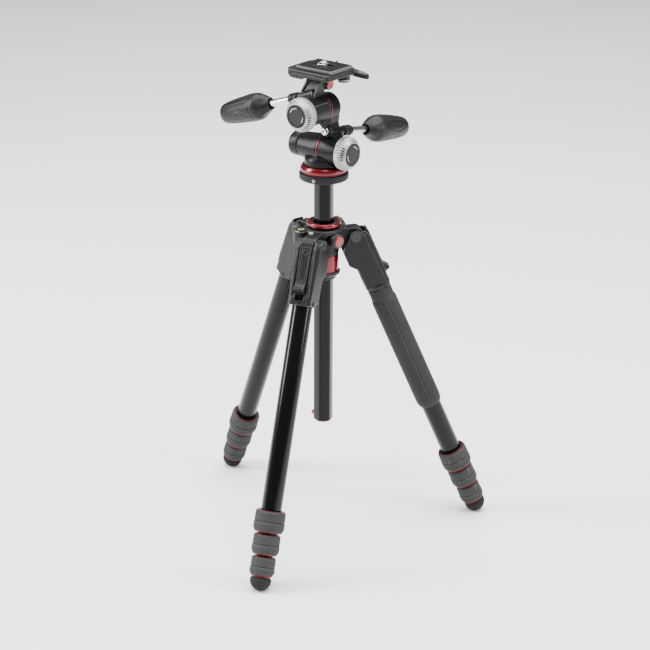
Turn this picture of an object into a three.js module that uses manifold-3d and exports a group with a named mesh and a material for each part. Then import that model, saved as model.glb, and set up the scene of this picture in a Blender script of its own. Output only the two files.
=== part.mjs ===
// Photographic tripod with a three-way head, standing with its legs at the first stop.
// Units are millimetres, +Z is up, and the origin is on the floor under the centre column.
// The head's front faces -Y. Each leg is drawn in its own frame: origin on its pivot,
// z up along the leg, x outward from the leg's upper face, y across it.

import * as THREE from 'three';
import { mergeVertices } from 'three/addons/utils/BufferGeometryUtils.js';
import Module from 'manifold-3d';

const wasm = await Module();
wasm.setup();

// ---------------------------------------------------------------- general fits
const gap = 0.3;              // between touching pieces
const runningGap = 0.4;       // radial, between nested tubes and in pivots
const roundSides = 16;        // facets of the tubes, locks and barrels
const smallSides = 12;        // facets of bolts and buttons

// ---------------------------------------------------------------- stance and legs
const pivotHeight = 385;
const pivotRadius = 38;
const legAngle = 23.2;        // from the vertical
const frontHeading = 16.4;    // degrees from -Y towards +X
const legHeadings = { front: frontHeading, right: frontHeading + 120, left: frontHeading + 240 };
const tubeRadius = 12.5;      // outer radius of the uppermost leg tube
const tubeWall = 1.2;
const tubeCount = 4;
const tubeTop = 58;           // depth of the uppermost tube's end below the pivot
const innerTubeTop = 30;      // the second tube reaches further up, inside the bracket
const tubeTopStep = 6;
const lockRadii = [18.8, 16.8, 15.2];
const lockLengths = [26.2, 24.6, 23.6];
const lockSeat = 13.3;        // length of tube held inside its lock
const lockSpacing = 2.3;
const lockRimStep = 1;        // the rims are this much smaller than the grip band
const footRadius = 13.2;
const footStraight = 3.4;
const footFlatDepth = 0.8;    // how much of the round end the floor flat takes away
const footSocketDepth = 9;
const footSpacing = 1.6;

// ---------------------------------------------------------------- leg bracket and selector
const bracketWidth = 33;
const bracketFootWidth = 28.4; // the casting narrows towards the tube
const bracketOuter = 13.2;
const bracketFoot = 75;       // lower end, below the pivot
const bracketInner = 14.3;
const bracketBulge = 16;
const lobeReach = 22.5;       // how far the two inner lobes reach towards the column
const lobeFoot = 33;
const lobeGap = 10.4;         // half the gap between the lobes
const edgeChamfer = 4.5;
const lugHalfWidth = 8;
const lugRadius = 9.5;
const boltRadius = 3;
const boltHeadRadius = 5.6;
const boltHeadHeight = 1.9;
const selectorWidth = 16;
const selectorTipWidth = 12;
const selectorTop = 3;        // above the pivot
const selectorFoot = 60;      // below the pivot
const selectorThickness = 3.4;
const selectorTab = 5.2;

// ---------------------------------------------------------------- rubber grip of one leg
const gripTop = bracketFoot + 1;
const gripFoot = 250;
const gripRadius = 16;
const gripNeckRadius = 14.6;
const gripNeckLength = 16;

// ---------------------------------------------------------------- hub
const hubRadius = 18.5;
const hubFoot = 362;
const shoulderRadius = 24;
const shoulderFoot = 390.6;
const hubTop = 396;
const columnBore = 12.6;
const collarRadius = 20.75;
const collarTop = 410;
const collarBore = 15.5;
const barrelRadius = 18.2;
const barrelFoot = 341;
const nutRadius = 20.3;
const nutFoot = 331;
const socketHeading = frontHeading + 60;
const knobHeading = frontHeading + 180;
const levelHeading = frontHeading + 300;
const bossReach = 29;
const bossRadius = 9;
const bossHeight = 384;
const levelDistance = 27.5;
const levelRadius = 7.6;
const levelTop = 392;
const levelDepth = 6;
const lockKnobRadius = 12;
const lockKnobLength = 15;
const lockKnobStem = 3.2;

// ---------------------------------------------------------------- centre column
const columnFlat = 10.8;      // distance of the six wide flats from the axis
const columnFlatHalfWidth = 5.1;
const columnInner = 9.6;
const columnFoot = 142;
const columnHeading = frontHeading + 30;   // direction of one of the flats
const capRadius = 10.6;
const capFlange = 3;           // the part of the cap that shows under the column
const capPlug = 10;
const buttonRadius = 3;
const buttonReach = 15.2;
const buttonSeat = 4.2;
const buttonHeight = 148;
const buttonHeading = columnHeading + 240;
const buttonTravel = 2;
const discRadius = 29.8;
const discFoot = 456.5;
const discThickness = 9;
const discChamfer = 2;
const studRadius = 4.7;

// ---------------------------------------------------------------- three-way head
const panRingRadius = 28.3;
const panRingHeight = 8.9;
const neckRadius = 23.5;
const neckHeight = 9;
const headBarrel = 18.5;      // radius of the lower tilt barrel
const sideBarrel = 17;        // radius of the upper tilt barrel
const tiltAxisHeight = 493.5;
const sideAxisHeight = 544;
const tiltBarrelStart = -30.2;
const tiltBarrelNarrow = 15.4; // radius of the fixed tilt barrel at its far end
const tiltBarrelBand = 8;     // its straight length beside the link
const tiltSplit = 3.4;        // where the moving link meets the fixed tilt barrel
const endCapLength = 14.5;
const endCapRound = 4;
const linkEnd = 28.2;
const sideSplit = -6.6;       // where the plate holder meets the link's upper housing
const linkBack = 11.5;
const sideBarrelStart = -37.2;
const axleRadius = 6;
const axleLength = 22;
const knobRadius = 20.4;
const knobFaceRadius = 15;
const knobBand = 8.5;
const knobDepth = 15;
const knobFaceRecess = 1;
const knobFaceHollow = 13.5;
const knobStemRadius = 3.6;
const knobStemLength = 12;
const panKnobHeading = 219.9;
const panKnobHeight = 482.2;
const panKnobRadius = 6.8;
const panKnobLength = 16;

// ---------------------------------------------------------------- pan handles
const rodRadius = 4.2;
const rodNutRadius = 4.9;
const rodNutLength = 4;
const rodBossRadius = 5.6;
const rodCollarRadius = 6.6;
const rodCollarStart = 37;
const rodCollarLength = 9.5;
const rodReach = 140;
const gripMouth = 77.5;
const handleGripLength = 78;
const handleGripRadius = 17.2;
const handleMouthRadius = 7.4;
const handleEndRadius = 12.8;
const tiltHandleRoot = [11, -10, 518.5];
const tiltHandleDrop = 10.5;
const sideHandleRoot = [9, -20, 567.6];
const sideHandleDrop = 19.5;
const sideRodStart = 9;        // the side rod ends inside the neck, without a nut
const neckBossRadius = 6.4;
const neckBoss = [9.5, -1, 573.2];

// ---------------------------------------------------------------- quick-release plate
const receiverFront = [-39, -27];
const receiverBack = [26, 27];
const neckFootX = [-19, 4];
const neckFootY = [-24, sideSplit - gap];
const neckLeanX = 5.5;
const neckLeanY = 12;
const receiverFoot = 583;
const receiverTop = 591;
const plateLength = 52.5;
const plateWidth = 42.5;
const plateLip = 3;           // how far the plate's top overhangs its foot
const plateFloor = 586;
const plateTop = 595.6;
const screwRadius = 3.1;
const screwHeadRadius = 8.5;
const screwTop = 600;
const leverThickness = 6;
const leverHeight = 581;
const leverPivot = [-12, 33.5];
const leverEarRadius = 5;
const leverPinRadius = 1.8;
const leverTip = [38, 37];
const bumpRadius = 7.5;
const bumpFoot = 574.7;
const jawFoot = 578.6;         // the jaw under the tray's outer end
const jawReach = 26;
const leverBend = 8;           // beyond here the lever slopes down to its tip
const leverDroop = 5;

// ---------------------------------------------------------------- finishes
const finishes = {
  casting: { color: 0x2c2d2f, roughness: 0.55, metalness: 0.35 },
  tube: { color: 0x111213, roughness: 0.22, metalness: 0.75 },
  rubber: { color: 0x222324, roughness: 0.8, metalness: 0 },
  red: { color: 0xa3121f, roughness: 0.35, metalness: 0.6 },
  silver: { color: 0xc9cbce, roughness: 0.3, metalness: 0.9 },
  plastic: { color: 0x303134, roughness: 0.5, metalness: 0 },
  level: { color: 0x9ec63a, roughness: 0.1, metalness: 0 },
};

// ---------------------------------------------------------------- solids
const radians = THREE.MathUtils.degToRad;

// A closed, outward-facing triangle mesh with shared vertices.
function closed(geometry) {
  const bare = new THREE.BufferGeometry();
  bare.setAttribute('position', geometry.getAttribute('position').clone());
  if (geometry.index) bare.setIndex(geometry.index.clone());
  const merged = mergeVertices(bare, 1e-4);
  const source = merged.index.array;
  const corners = [];
  for (let i = 0; i < source.length; i += 3) {
    const [a, b, c] = [source[i], source[i + 1], source[i + 2]];
    if (a !== b && b !== c && c !== a) corners.push(a, b, c);
  }
  if (signedVolume(merged.getAttribute('position'), corners) < 0) corners.reverse();
  merged.setIndex(corners);
  return merged;
}

function signedVolume(position, corners) {
  const [a, b, c] = [new THREE.Vector3(), new THREE.Vector3(), new THREE.Vector3()];
  let sum = 0;
  for (let i = 0; i < corners.length; i += 3) {
    a.fromBufferAttribute(position, corners[i]);
    b.fromBufferAttribute(position, corners[i + 1]);
    c.fromBufferAttribute(position, corners[i + 2]);
    sum += a.dot(b.cross(c));
  }
  return sum;
}

function toManifold(geometry) {
  const mesh = closed(geometry);
  return new wasm.Manifold(new wasm.Mesh({
    numProp: 3,
    vertProperties: new Float32Array(mesh.getAttribute('position').array),
    triVerts: new Uint32Array(mesh.index.array),
  }));
}

function fromManifold(solid) {
  const mesh = solid.getMesh();
  const geometry = new THREE.BufferGeometry();
  geometry.setAttribute('position', new THREE.BufferAttribute(mesh.vertProperties, 3));
  geometry.setIndex(new THREE.BufferAttribute(mesh.triVerts, 1));
  return geometry;
}

function join(first, ...others) {
  return fromManifold(others.reduce((sum, other) => sum.add(toManifold(other)), toManifold(first)));
}

function cut(first, ...tools) {
  return fromManifold(tools.reduce((left, tool) => left.subtract(toManifold(tool)), toManifold(first)));
}

// A solid of revolution about z from [radius, height] pairs.
function turned(profile, sides = roundSides) {
  const points = profile.map(([radius, height]) => new THREE.Vector2(radius, height));
  return closed(new THREE.LatheGeometry(points, sides).rotateX(Math.PI / 2));
}

function post(radius, low, high, sides = roundSides) {
  return turned([[0, low], [radius, low], [radius, high], [0, high]], sides);
}

function sleeve(outer, inner, low, high, sides = roundSides) {
  return turned([[inner, low], [outer, low], [outer, high], [inner, high], [inner, low]], sides);
}

function block([x0, x1], [y0, y1], [z0, z1]) {
  const box = new THREE.BoxGeometry(x1 - x0, y1 - y0, z1 - z0);
  return box.translate((x0 + x1) / 2, (y0 + y1) / 2, (z0 + z1) / 2);
}

function outline(points) {
  return new THREE.Shape(points.map(([x, y]) => new THREE.Vector2(x, y)));
}

// A shape drawn in x and y, pulled up along z.
function slab(shape, low, high) {
  const pull = { depth: high - low, bevelEnabled: false };
  const geometry = new THREE.ExtrudeGeometry(shape, pull);
  return closed(geometry.translate(0, 0, low));
}

// A shape drawn in x and z, pulled across y from -half to +half.
function sideSlab(points, half) {
  return slab(outline(points), -half, half).rotateX(Math.PI / 2);
}

function alongX(geometry) {
  return geometry.rotateY(Math.PI / 2);
}

function alongY(geometry) {
  return geometry.rotateX(-Math.PI / 2);
}

// Horizontal direction of a heading, counted from -Y towards +X.
function heading(degrees) {
  return new THREE.Vector3(Math.sin(radians(degrees)), -Math.cos(radians(degrees)), 0);
}

// Turns a solid drawn along z so that it points along a direction from a root point.
function aimed(geometry, direction, root = [0, 0, 0]) {
  const up = new THREE.Vector3(0, 0, 1);
  const turn = new THREE.Quaternion().setFromUnitVectors(up, direction.clone().normalize());
  return geometry.applyQuaternion(turn).translate(...root);
}

// A solid drawn along x at the height of the origin, turned to a heading.
function toHeading(geometry, degrees, height = 0) {
  return geometry.rotateZ(radians(degrees - 90)).translate(0, 0, height);
}

const group = new THREE.Group();

function addPiece(name, geometry, finish, parent = group) {
  const mesh = new THREE.Mesh(geometry, new THREE.MeshStandardMaterial(finishes[finish]));
  mesh.name = name;
  parent.add(mesh);
}

// ---------------------------------------------------------------- leg layout
const cosLeg = Math.cos(radians(legAngle));
const footCentre = (pivotHeight - footRadius + footFlatDepth) / cosLeg;   // down the leg
const footTop = footCentre - footStraight;

// Lock spans, from the uppermost: the lowest sits just above the foot.
function lockSpans() {
  const spans = [];
  let foot = footTop - footSpacing;
  for (let i = lockRadii.length - 1; i >= 0; i -= 1) {
    spans[i] = { top: foot - lockLengths[i], foot };
    foot = spans[i].top - lockSpacing;
  }
  return spans;
}

const locks = lockSpans();

function outerRadius(index) {
  return tubeRadius - index * (tubeWall + runningGap);
}

function boreRadius(index) {
  return outerRadius(index) + runningGap - 0.1;
}

// Start and end of a leg tube, counted down the leg.
function tubeSpan(index) {
  const top = index === 0 ? tubeTop : innerTubeTop + (index - 1) * tubeTopStep;
  const foot = index < locks.length ? locks[index].top + lockSeat : footTop + footSocketDepth - gap;
  return { top, foot };
}

// ---------------------------------------------------------------- leg pieces
function legBracket() {
  const half = bracketWidth / 2;
  const side = sideSlab([
    [-5.5, 6], [5, 6], [11.5, -2], [bracketOuter, -8], [bracketOuter, -bracketFoot + 15],
    [bracketBulge, -bracketFoot + 9], [bracketBulge, -bracketFoot + 6], [bracketInner, -bracketFoot],
    [-bracketInner, -bracketFoot + 5], [-bracketInner, -lobeFoot - 7], [-lobeReach + 4, -lobeFoot - 3],
    [-lobeReach, -lobeFoot + 2], [-lobeReach, -14], [-lobeReach + 2.5, -9],
  ], half);
  const lugSide = lugHalfWidth + gap;
  const lugSlot = block([-lobeReach - 1, 12], [-lugSide, lugSide], [-lugRadius - 6, 20]);
  const lobeSlot = block([-lobeReach - 1, -bracketInner + 0.5], [-lobeGap, lobeGap], [-lobeFoot - 8, 20]);
  const tubeBore = post(boreRadius(0), -bracketFoot - 1, -tubeTop + gap);
  const innerBore = post(boreRadius(1), -tubeTop - 1, -innerTubeTop + 6);
  const boltBore = alongY(post(boltRadius + gap, -half - 1, half + 1, smallSides));
  const boltSeat = boltHeadHeight + gap;
  const seats = [-1, 1].map((way) => {
    const ends = [way * (half - boltSeat), way * (half + 1)].sort((a, b) => a - b);
    return alongY(post(boltHeadRadius + gap, ends[0], ends[1], smallSides));
  });
  const chamfers = [-1, 1].map((way) => slab(outline([
    [bracketOuter - edgeChamfer, way * (half + 1)],
    [bracketOuter + bracketBulge, way * (half + 1)],
    [bracketOuter + bracketBulge, way * (half - edgeChamfer - bracketBulge)],
  ]), -bracketFoot - 1, 20));
  const reach = bracketInner + bracketBulge;
  const narrowing = tapers([selectorFoot / 4, half], [bracketFoot, bracketFootWidth / 2], reach);
  return cut(side, lugSlot, lobeSlot, tubeBore, innerBore, boltBore, ...seats, ...chamfers, ...narrowing);
}

// A pair of wedges that narrow a piece across, between two [depth, half width] stations down the leg.
function tapers([top, topHalf], [foot, footHalf], reach) {
  const past = foot + 1;
  const spare = 4;
  return [-1, 1].map((way) => slab(outline([
    [top, way * topHalf], [past, way * footHalf],
    [past, way * (topHalf + spare)], [top, way * (topHalf + spare)],
  ]), -reach, reach).rotateY(Math.PI / 2));
}

function pivotBolt() {
  const half = bracketWidth / 2 - gap;
  const neck = half - boltHeadHeight;
  return alongY(turned([
    [0, -half], [boltHeadRadius, -half], [boltHeadRadius, -neck], [boltRadius, -neck],
    [boltRadius, neck], [boltHeadRadius, neck], [boltHeadRadius, half], [0, half],
  ], smallSides));
}

function angleSelector() {
  const inner = bracketOuter + gap;
  const outer = inner + selectorThickness;
  const plate = sideSlab([
    [inner, selectorTop - 1], [inner + 2, selectorTop], [outer - 0.6, -1], [outer, -6],
    [outer, -selectorFoot + 12], [inner + selectorTab + selectorThickness, -selectorFoot + 4],
    [inner + 2.4, -selectorFoot], [inner, -selectorFoot + 2],
  ], selectorWidth / 2);
  const reach = outer + selectorTab + 1;
  const narrowing = tapers([-selectorTop, selectorWidth / 2], [selectorFoot, selectorTipWidth / 2], reach);
  return cut(plate, ...narrowing);
}

function legTube(index) {
  const { top, foot } = tubeSpan(index);
  return sleeve(outerRadius(index), outerRadius(index) - tubeWall, -foot, -top);
}

function twistLock(index) {
  const { top, foot } = locks[index];
  const rim = lockRadii[index] - lockRimStep;
  const seat = top + lockSeat + gap;
  return turned([
    [boreRadius(index), -top], [boreRadius(index), -seat], [boreRadius(index + 1), -seat],
    [boreRadius(index + 1), -foot], [rim, -foot], [lockRadii[index], -foot + 3],
    [lockRadii[index], -top - 3], [rim, -top], [boreRadius(index), -top],
  ]);
}

function rubberFoot() {
  const steps = 5;
  const profile = [[0, -footTop], [footRadius, -footTop]];
  for (let i = 0; i <= steps; i += 1) {
    const turn = (Math.PI / 2) * (i / steps);
    profile.push([footRadius * Math.cos(turn), -footCentre - footRadius * Math.sin(turn)]);
  }
  profile[profile.length - 1][0] = 0;
  const socket = post(boreRadius(tubeCount - 1), -footTop - footSocketDepth, -footTop + 1);
  const floor = block([0, pivotHeight], [-60, 60], [-60, 0]).translate(0, 0, -pivotHeight);
  return cut(turned(profile), socket, floor.rotateY(radians(legAngle)));
}

function legGrip() {
  const step = gripTop + gripNeckLength;
  const shell = turned([
    [boreRadius(0), -gripTop], [gripNeckRadius, -gripTop], [gripNeckRadius, -step], [gripRadius, -step - 2],
    [gripRadius, -gripFoot + 6], [gripRadius - 2, -gripFoot + 1], [gripRadius - 2.6, -gripFoot],
    [boreRadius(0), -gripFoot], [boreRadius(0), -gripTop],
  ]);
  const flat = gripRadius - 1;
  const panel = block([-9, 9], [-gripRadius - 1, -flat], [-gripFoot + 12, -step - 6]);
  return cut(shell, panel);
}

function buildLeg(side) {
  const turntable = new THREE.Group();
  turntable.rotation.z = radians(legHeadings[side] - 90);
  const leg = new THREE.Group();
  leg.position.set(pivotRadius, 0, pivotHeight);
  leg.rotation.y = -radians(legAngle);
  turntable.add(leg);
  group.add(turntable);
  addPiece(`${side}_leg_bracket`, legBracket(), 'casting', leg);
  addPiece(`${side}_pivot_bolt`, pivotBolt(), 'silver', leg);
  addPiece(`${side}_angle_selector`, angleSelector(), 'casting', leg);
  for (let i = 0; i < tubeCount; i += 1) {
    addPiece(`${side}_leg_tube_${i + 1}`, legTube(i), 'tube', leg);
  }
  for (let i = 0; i < locks.length; i += 1) {
    addPiece(`${side}_twist_lock_${i + 1}`, twistLock(i), 'rubber', leg);
  }
  addPiece(`${side}_foot`, rubberFoot(), 'rubber', leg);
  if (side === 'right') addPiece('right_leg_grip', legGrip(), 'rubber', leg);
}

// ---------------------------------------------------------------- hub pieces
function hubCasting() {
  const chamfer = 2;
  const core = turned([
    [0, hubFoot], [hubRadius, hubFoot], [hubRadius, shoulderFoot], [shoulderRadius, shoulderFoot],
    [shoulderRadius, hubTop - chamfer], [shoulderRadius - chamfer, hubTop], [0, hubTop],
  ], 24);
  const lugs = Object.values(legHeadings).map((degrees) => toHeading(legLug(), degrees));
  const bossRoot = hubRadius - 4;
  const socketBoss = toHeading(alongX(post(bossRadius, bossRoot, bossReach)), socketHeading, bossHeight);
  const knobBoss = toHeading(alongX(post(bossRadius - 1, bossRoot, bossReach)), knobHeading, bossHeight);
  const levelAt = heading(levelHeading).multiplyScalar(levelDistance);
  const levelBoss = post(levelRadius + 2, levelTop - levelDepth - 8, levelTop);
  const levelSeat = post(levelRadius + gap, levelTop - levelDepth - gap, hubTop + 1);
  const knobBore = alongX(post(lockKnobStem + gap, hubRadius - 2, bossReach + 1, smallSides));
  return cut(
    join(core, ...lugs, socketBoss, knobBoss, levelBoss.translate(levelAt.x, levelAt.y, 0)),
    post(columnBore, hubFoot - 1, hubTop + 1, 24),
    levelSeat.translate(levelAt.x, levelAt.y, 0),
    toHeading(knobBore, knobHeading, bossHeight),
  );
}

// One lug for a leg, drawn along x: a tongue with a round end about the pivot.
function legLug() {
  const root = hubRadius - 4;
  const tongue = sideSlab([
    [root, pivotHeight - lugRadius - 6], [pivotRadius - 3, pivotHeight - lugRadius],
    [pivotRadius, pivotHeight - lugRadius], [pivotRadius, pivotHeight + lugRadius],
    [root, pivotHeight + lugRadius],
  ], lugHalfWidth);
  const end = alongY(post(lugRadius, -lugHalfWidth, lugHalfWidth)).translate(pivotRadius, 0, pivotHeight);
  const bore = alongY(post(boltRadius + gap, -lugHalfWidth - 1, lugHalfWidth + 1, smallSides));
  return cut(join(tongue, end), bore.translate(pivotRadius, 0, pivotHeight));
}

function columnCollar() {
  const waist = hubTop + gap;
  const flare = waist + 4;
  return turned([
    [columnBore, waist], [collarRadius - 3, waist], [collarRadius - 3, flare - 1], [collarRadius, flare + 1],
    [collarRadius, collarTop - 1.5], [collarRadius - 1.5, collarTop], [collarBore + 1, collarTop],
    [collarBore, collarTop - 1], [collarBore, flare], [columnBore, flare - 2], [columnBore, waist],
  ], 24);
}

function barrelNut() {
  const top = barrelFoot - gap;
  return turned([
    [columnBore, nutFoot], [nutRadius - 4.5, nutFoot], [nutRadius - 4.5, nutFoot + 3],
    [nutRadius, nutFoot + 6], [nutRadius, top], [columnBore, top], [columnBore, nutFoot],
  ], 24);
}

function socketCap() {
  const cap = turned([[0, 0], [6.4, 0], [6.4, 1.2], [5.4, 2.2], [0, 2.2]], 16);
  return toHeading(alongX(cap.translate(0, 0, bossReach + gap)), socketHeading, bossHeight);
}

function bubbleLevel() {
  const at = heading(levelHeading).multiplyScalar(levelDistance);
  const vial = turned([
    [0, levelTop - levelDepth], [levelRadius, levelTop - levelDepth], [levelRadius, levelTop],
    [levelRadius - 1.4, levelTop + 1.2], [0, levelTop + 1.2],
  ], 16);
  return vial.translate(at.x, at.y, 0);
}

function columnLockKnob() {
  const face = bossReach + gap + 1;
  const end = face + lockKnobLength;
  const knob = turned([
    [0, hubRadius - 1.5], [lockKnobStem, hubRadius - 1.5], [lockKnobStem, face], [lockKnobRadius - 3, face],
    [lockKnobRadius, face + 4], [lockKnobRadius, end - 2], [lockKnobRadius - 2, end], [0, end],
  ], 16);
  return toHeading(alongX(knob), knobHeading, bossHeight);
}

function buildHub() {
  addPiece('hub', hubCasting(), 'casting');
  addPiece('column_collar', columnCollar(), 'red');
  addPiece('column_barrel', sleeve(barrelRadius, columnBore, barrelFoot, hubFoot - gap, 24), 'red');
  addPiece('barrel_nut', barrelNut(), 'casting');
  addPiece('socket_cap', socketCap(), 'red');
  addPiece('bubble_level', bubbleLevel(), 'level');
  addPiece('column_lock_knob', columnLockKnob(), 'rubber');
}

// ---------------------------------------------------------------- centre column pieces
function columnTube() {
  const shape = new THREE.Shape();
  const reach = Math.hypot(columnFlat, columnFlatHalfWidth);
  const spread = Math.atan2(columnFlatHalfWidth, columnFlat);
  for (let i = 0; i < 6; i += 1) {
    for (const way of [-1, 1]) {
      const turn = radians(columnHeading - 90 + 60 * i) + way * spread;
      const [x, y] = [reach * Math.cos(turn), reach * Math.sin(turn)];
      if (i === 0 && way < 0) shape.moveTo(x, y);
      else shape.lineTo(x, y);
    }
  }
  shape.closePath();
  const tube = slab(shape, columnFoot, discFoot - gap);
  return cut(tube, post(columnInner, columnFoot - 1, discFoot + 1, 16), buttonBore());
}

function buttonBore() {
  const bore = alongX(post(buttonRadius + gap, buttonSeat, buttonReach, smallSides));
  return toHeading(bore, buttonHeading, buttonHeight);
}

function columnEndCap() {
  const top = columnFoot - gap;
  const foot = top - capFlange;
  const cap = turned([
    [0, foot], [capRadius - 4, foot], [capRadius - 0.8, foot + 1.2], [capRadius, top - 0.4], [capRadius, top],
    [columnInner - gap, top], [columnInner - gap, top + capPlug], [0, top + capPlug],
  ]);
  return cut(cap, buttonBore());
}

function releaseButton() {
  const inner = buttonSeat + buttonTravel + gap;
  const pin = turned([
    [0, inner], [buttonRadius, inner], [buttonRadius, buttonReach - 1], [buttonRadius - 0.8, buttonReach],
    [0, buttonReach],
  ], smallSides);
  return toHeading(alongX(pin), buttonHeading, buttonHeight);
}

const discTop = discFoot + discThickness;
const panRingFoot = discTop + gap;
const panRingTop = panRingFoot + panRingHeight;

function topDisc() {
  return turned([
    [0, discFoot - 15], [columnInner - gap, discFoot - 15], [columnInner - gap, discFoot],
    [discRadius - discChamfer, discFoot], [discRadius, discFoot + discChamfer], [discRadius, discTop - 0.6],
    [discRadius - 0.6, discTop], [studRadius, discTop], [studRadius, panRingTop - 1], [0, panRingTop - 1],
  ], 24);
}

function buildColumn() {
  addPiece('column_tube', columnTube(), 'tube');
  addPiece('column_end_cap', columnEndCap(), 'red');
  addPiece('column_release_button', releaseButton(), 'red');
  addPiece('top_disc', topDisc(), 'casting');
}

// ---------------------------------------------------------------- head pieces
const headFoot = panRingTop + gap;

function panRing() {
  const bore = studRadius + runningGap;
  return turned([
    [bore, panRingFoot], [panRingRadius - 0.6, panRingFoot], [panRingRadius, panRingFoot + 0.6],
    [panRingRadius, panRingTop - 1.4], [panRingRadius - 1.4, panRingTop], [bore, panRingTop],
    [bore, panRingFoot],
  ], 24);
}

function headBody() {
  const neck = turned([
    [0, headFoot], [neckRadius, headFoot], [neckRadius, headFoot + neckHeight],
    [headBarrel - 2, headFoot + 16], [0, headFoot + 16],
  ], 24);
  const barrel = alongX(turned([
    [0, tiltBarrelStart], [tiltBarrelNarrow, tiltBarrelStart], [headBarrel, tiltSplit - tiltBarrelBand],
    [headBarrel, tiltSplit], [0, tiltSplit],
  ])).translate(0, 0, tiltAxisHeight);
  const linkSweep = alongX(post(headBarrel + runningGap, tiltSplit, tiltSplit + 40));
  const axleBore = alongX(post(axleRadius + runningGap, tiltSplit - axleLength - 1, tiltSplit + 1));
  const knobBore = alongX(post(knobStemRadius + gap, neckRadius - 9, neckRadius + 1, smallSides));
  return cut(
    join(cut(neck, linkSweep.translate(0, 0, tiltAxisHeight)), barrel),
    axleBore.translate(0, 0, tiltAxisHeight),
    toHeading(knobBore, panKnobHeading, panKnobHeight),
  );
}

function headEndCap() {
  const start = tiltBarrelStart - gap;
  const end = start - endCapLength;
  const cap = turned([
    [0, end], [tiltBarrelNarrow - endCapRound, end], [tiltBarrelNarrow - 1.2, end + 1.2],
    [tiltBarrelNarrow, end + endCapRound], [tiltBarrelNarrow, start - 1], [tiltBarrelNarrow - 1, start],
    [0, start],
  ]);
  return alongX(cap).translate(0, 0, tiltAxisHeight);
}

function panLockKnob() {
  const face = neckRadius + gap + 1;
  const end = face + panKnobLength;
  const knob = turned([
    [0, neckRadius - 8.6], [knobStemRadius, neckRadius - 8.6], [knobStemRadius, face],
    [panKnobRadius - 2, face], [panKnobRadius - 1, face + 2], [panKnobRadius, end - 3],
    [panKnobRadius - 2, end], [0, end],
  ], 16);
  return toHeading(alongX(knob), panKnobHeading, panKnobHeight);
}

const linkStart = tiltSplit + gap;

function tiltHandleDirection() {
  return new THREE.Vector3(0, Math.cos(radians(tiltHandleDrop)), -Math.sin(radians(tiltHandleDrop)));
}

function sideHandleDirection() {
  return new THREE.Vector3(-Math.cos(radians(sideHandleDrop)), 0, -Math.sin(radians(sideHandleDrop)));
}

function linkArm() {
  const lower = alongX(post(headBarrel, linkStart, linkEnd)).translate(0, 0, tiltAxisHeight);
  const axle = alongX(post(axleRadius, tiltSplit - axleLength, linkStart + 1));
  const upper = alongY(post(sideBarrel, sideSplit, linkBack)).translate(0, 0, sideAxisHeight);
  const web = slab(outline([
    [linkStart, tiltAxisHeight], [26, tiltAxisHeight], [26, 503], [18, 511], [14, 527], [16, sideAxisHeight],
    [-10, sideAxisHeight], [-7, 531], [linkStart, 518],
  ]), sideSplit, linkBack).rotateX(Math.PI / 2).translate(0, sideSplit + linkBack, 0);
  const boss = aimed(post(rodBossRadius, 5.5, 30, 16), tiltHandleDirection(), tiltHandleRoot);
  const rodBore = aimed(post(rodRadius + gap, 0, 60, 16), tiltHandleDirection(), tiltHandleRoot);
  const axleBore = alongY(post(axleRadius + runningGap, sideSplit - 1, sideSplit + axleLength - 6));
  const knobBore = alongX(post(knobStemRadius + gap, linkEnd - knobStemLength, linkEnd + 1, smallSides));
  return cut(
    join(lower, axle.translate(0, 0, tiltAxisHeight), upper, web, boss),
    rodBore,
    axleBore.translate(0, 0, sideAxisHeight),
    knobBore.translate(0, 0, tiltAxisHeight),
  );
}

// A friction knob drawn along z: stem below, broad band, then a taper to the dished face.
function frictionKnob() {
  return turned([
    [0, -knobStemLength + 1], [knobStemRadius, -knobStemLength + 1], [knobStemRadius, 0], [knobRadius - 1, 0],
    [knobRadius, 1], [knobRadius, knobBand], [knobFaceRadius, knobDepth], [knobFaceHollow, knobDepth],
    [knobFaceHollow, knobDepth - knobFaceRecess], [0, knobDepth - knobFaceRecess],
  ], 24);
}

const rodNut = [[0, -rodNutLength], [rodNutRadius, -rodNutLength], [rodNutRadius, -0.1], [rodRadius, -0.1]];
const rodBlindEnd = [[0, sideRodStart], [rodRadius, sideRodStart]];

function handleRod(backEnd, direction, root) {
  const collarEnd = rodCollarStart + rodCollarLength;
  const rod = turned([
    ...backEnd,
    [rodRadius, rodCollarStart - 4], [rodCollarRadius - 0.8, rodCollarStart - 4],
    [rodCollarRadius, rodCollarStart], [rodCollarRadius, collarEnd - 3], [rodCollarRadius - 1, collarEnd],
    [rodRadius, collarEnd], [rodRadius, rodReach], [0, rodReach],
  ], 16);
  return aimed(rod, direction, root);
}

function handleGrip(direction, root) {
  const bore = rodRadius + runningGap;
  const [mouth, end] = [gripMouth, gripMouth + handleGripLength];
  const grip = turned([
    [bore, mouth], [handleMouthRadius, mouth], [handleGripRadius - 5, mouth + 9],
    [handleGripRadius - 1.4, mouth + 17], [handleGripRadius, mouth + 24],
    [handleGripRadius - 0.6, mouth + 36], [handleGripRadius - 2.2, mouth + 58],
    [handleEndRadius, end - 8], [handleEndRadius - 2, end - 3], [handleEndRadius - 5.5, end], [0, end],
    [0, rodReach + 4], [bore, rodReach + 4], [bore, mouth],
  ], 16);
  return aimed(grip, direction, root);
}

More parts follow.
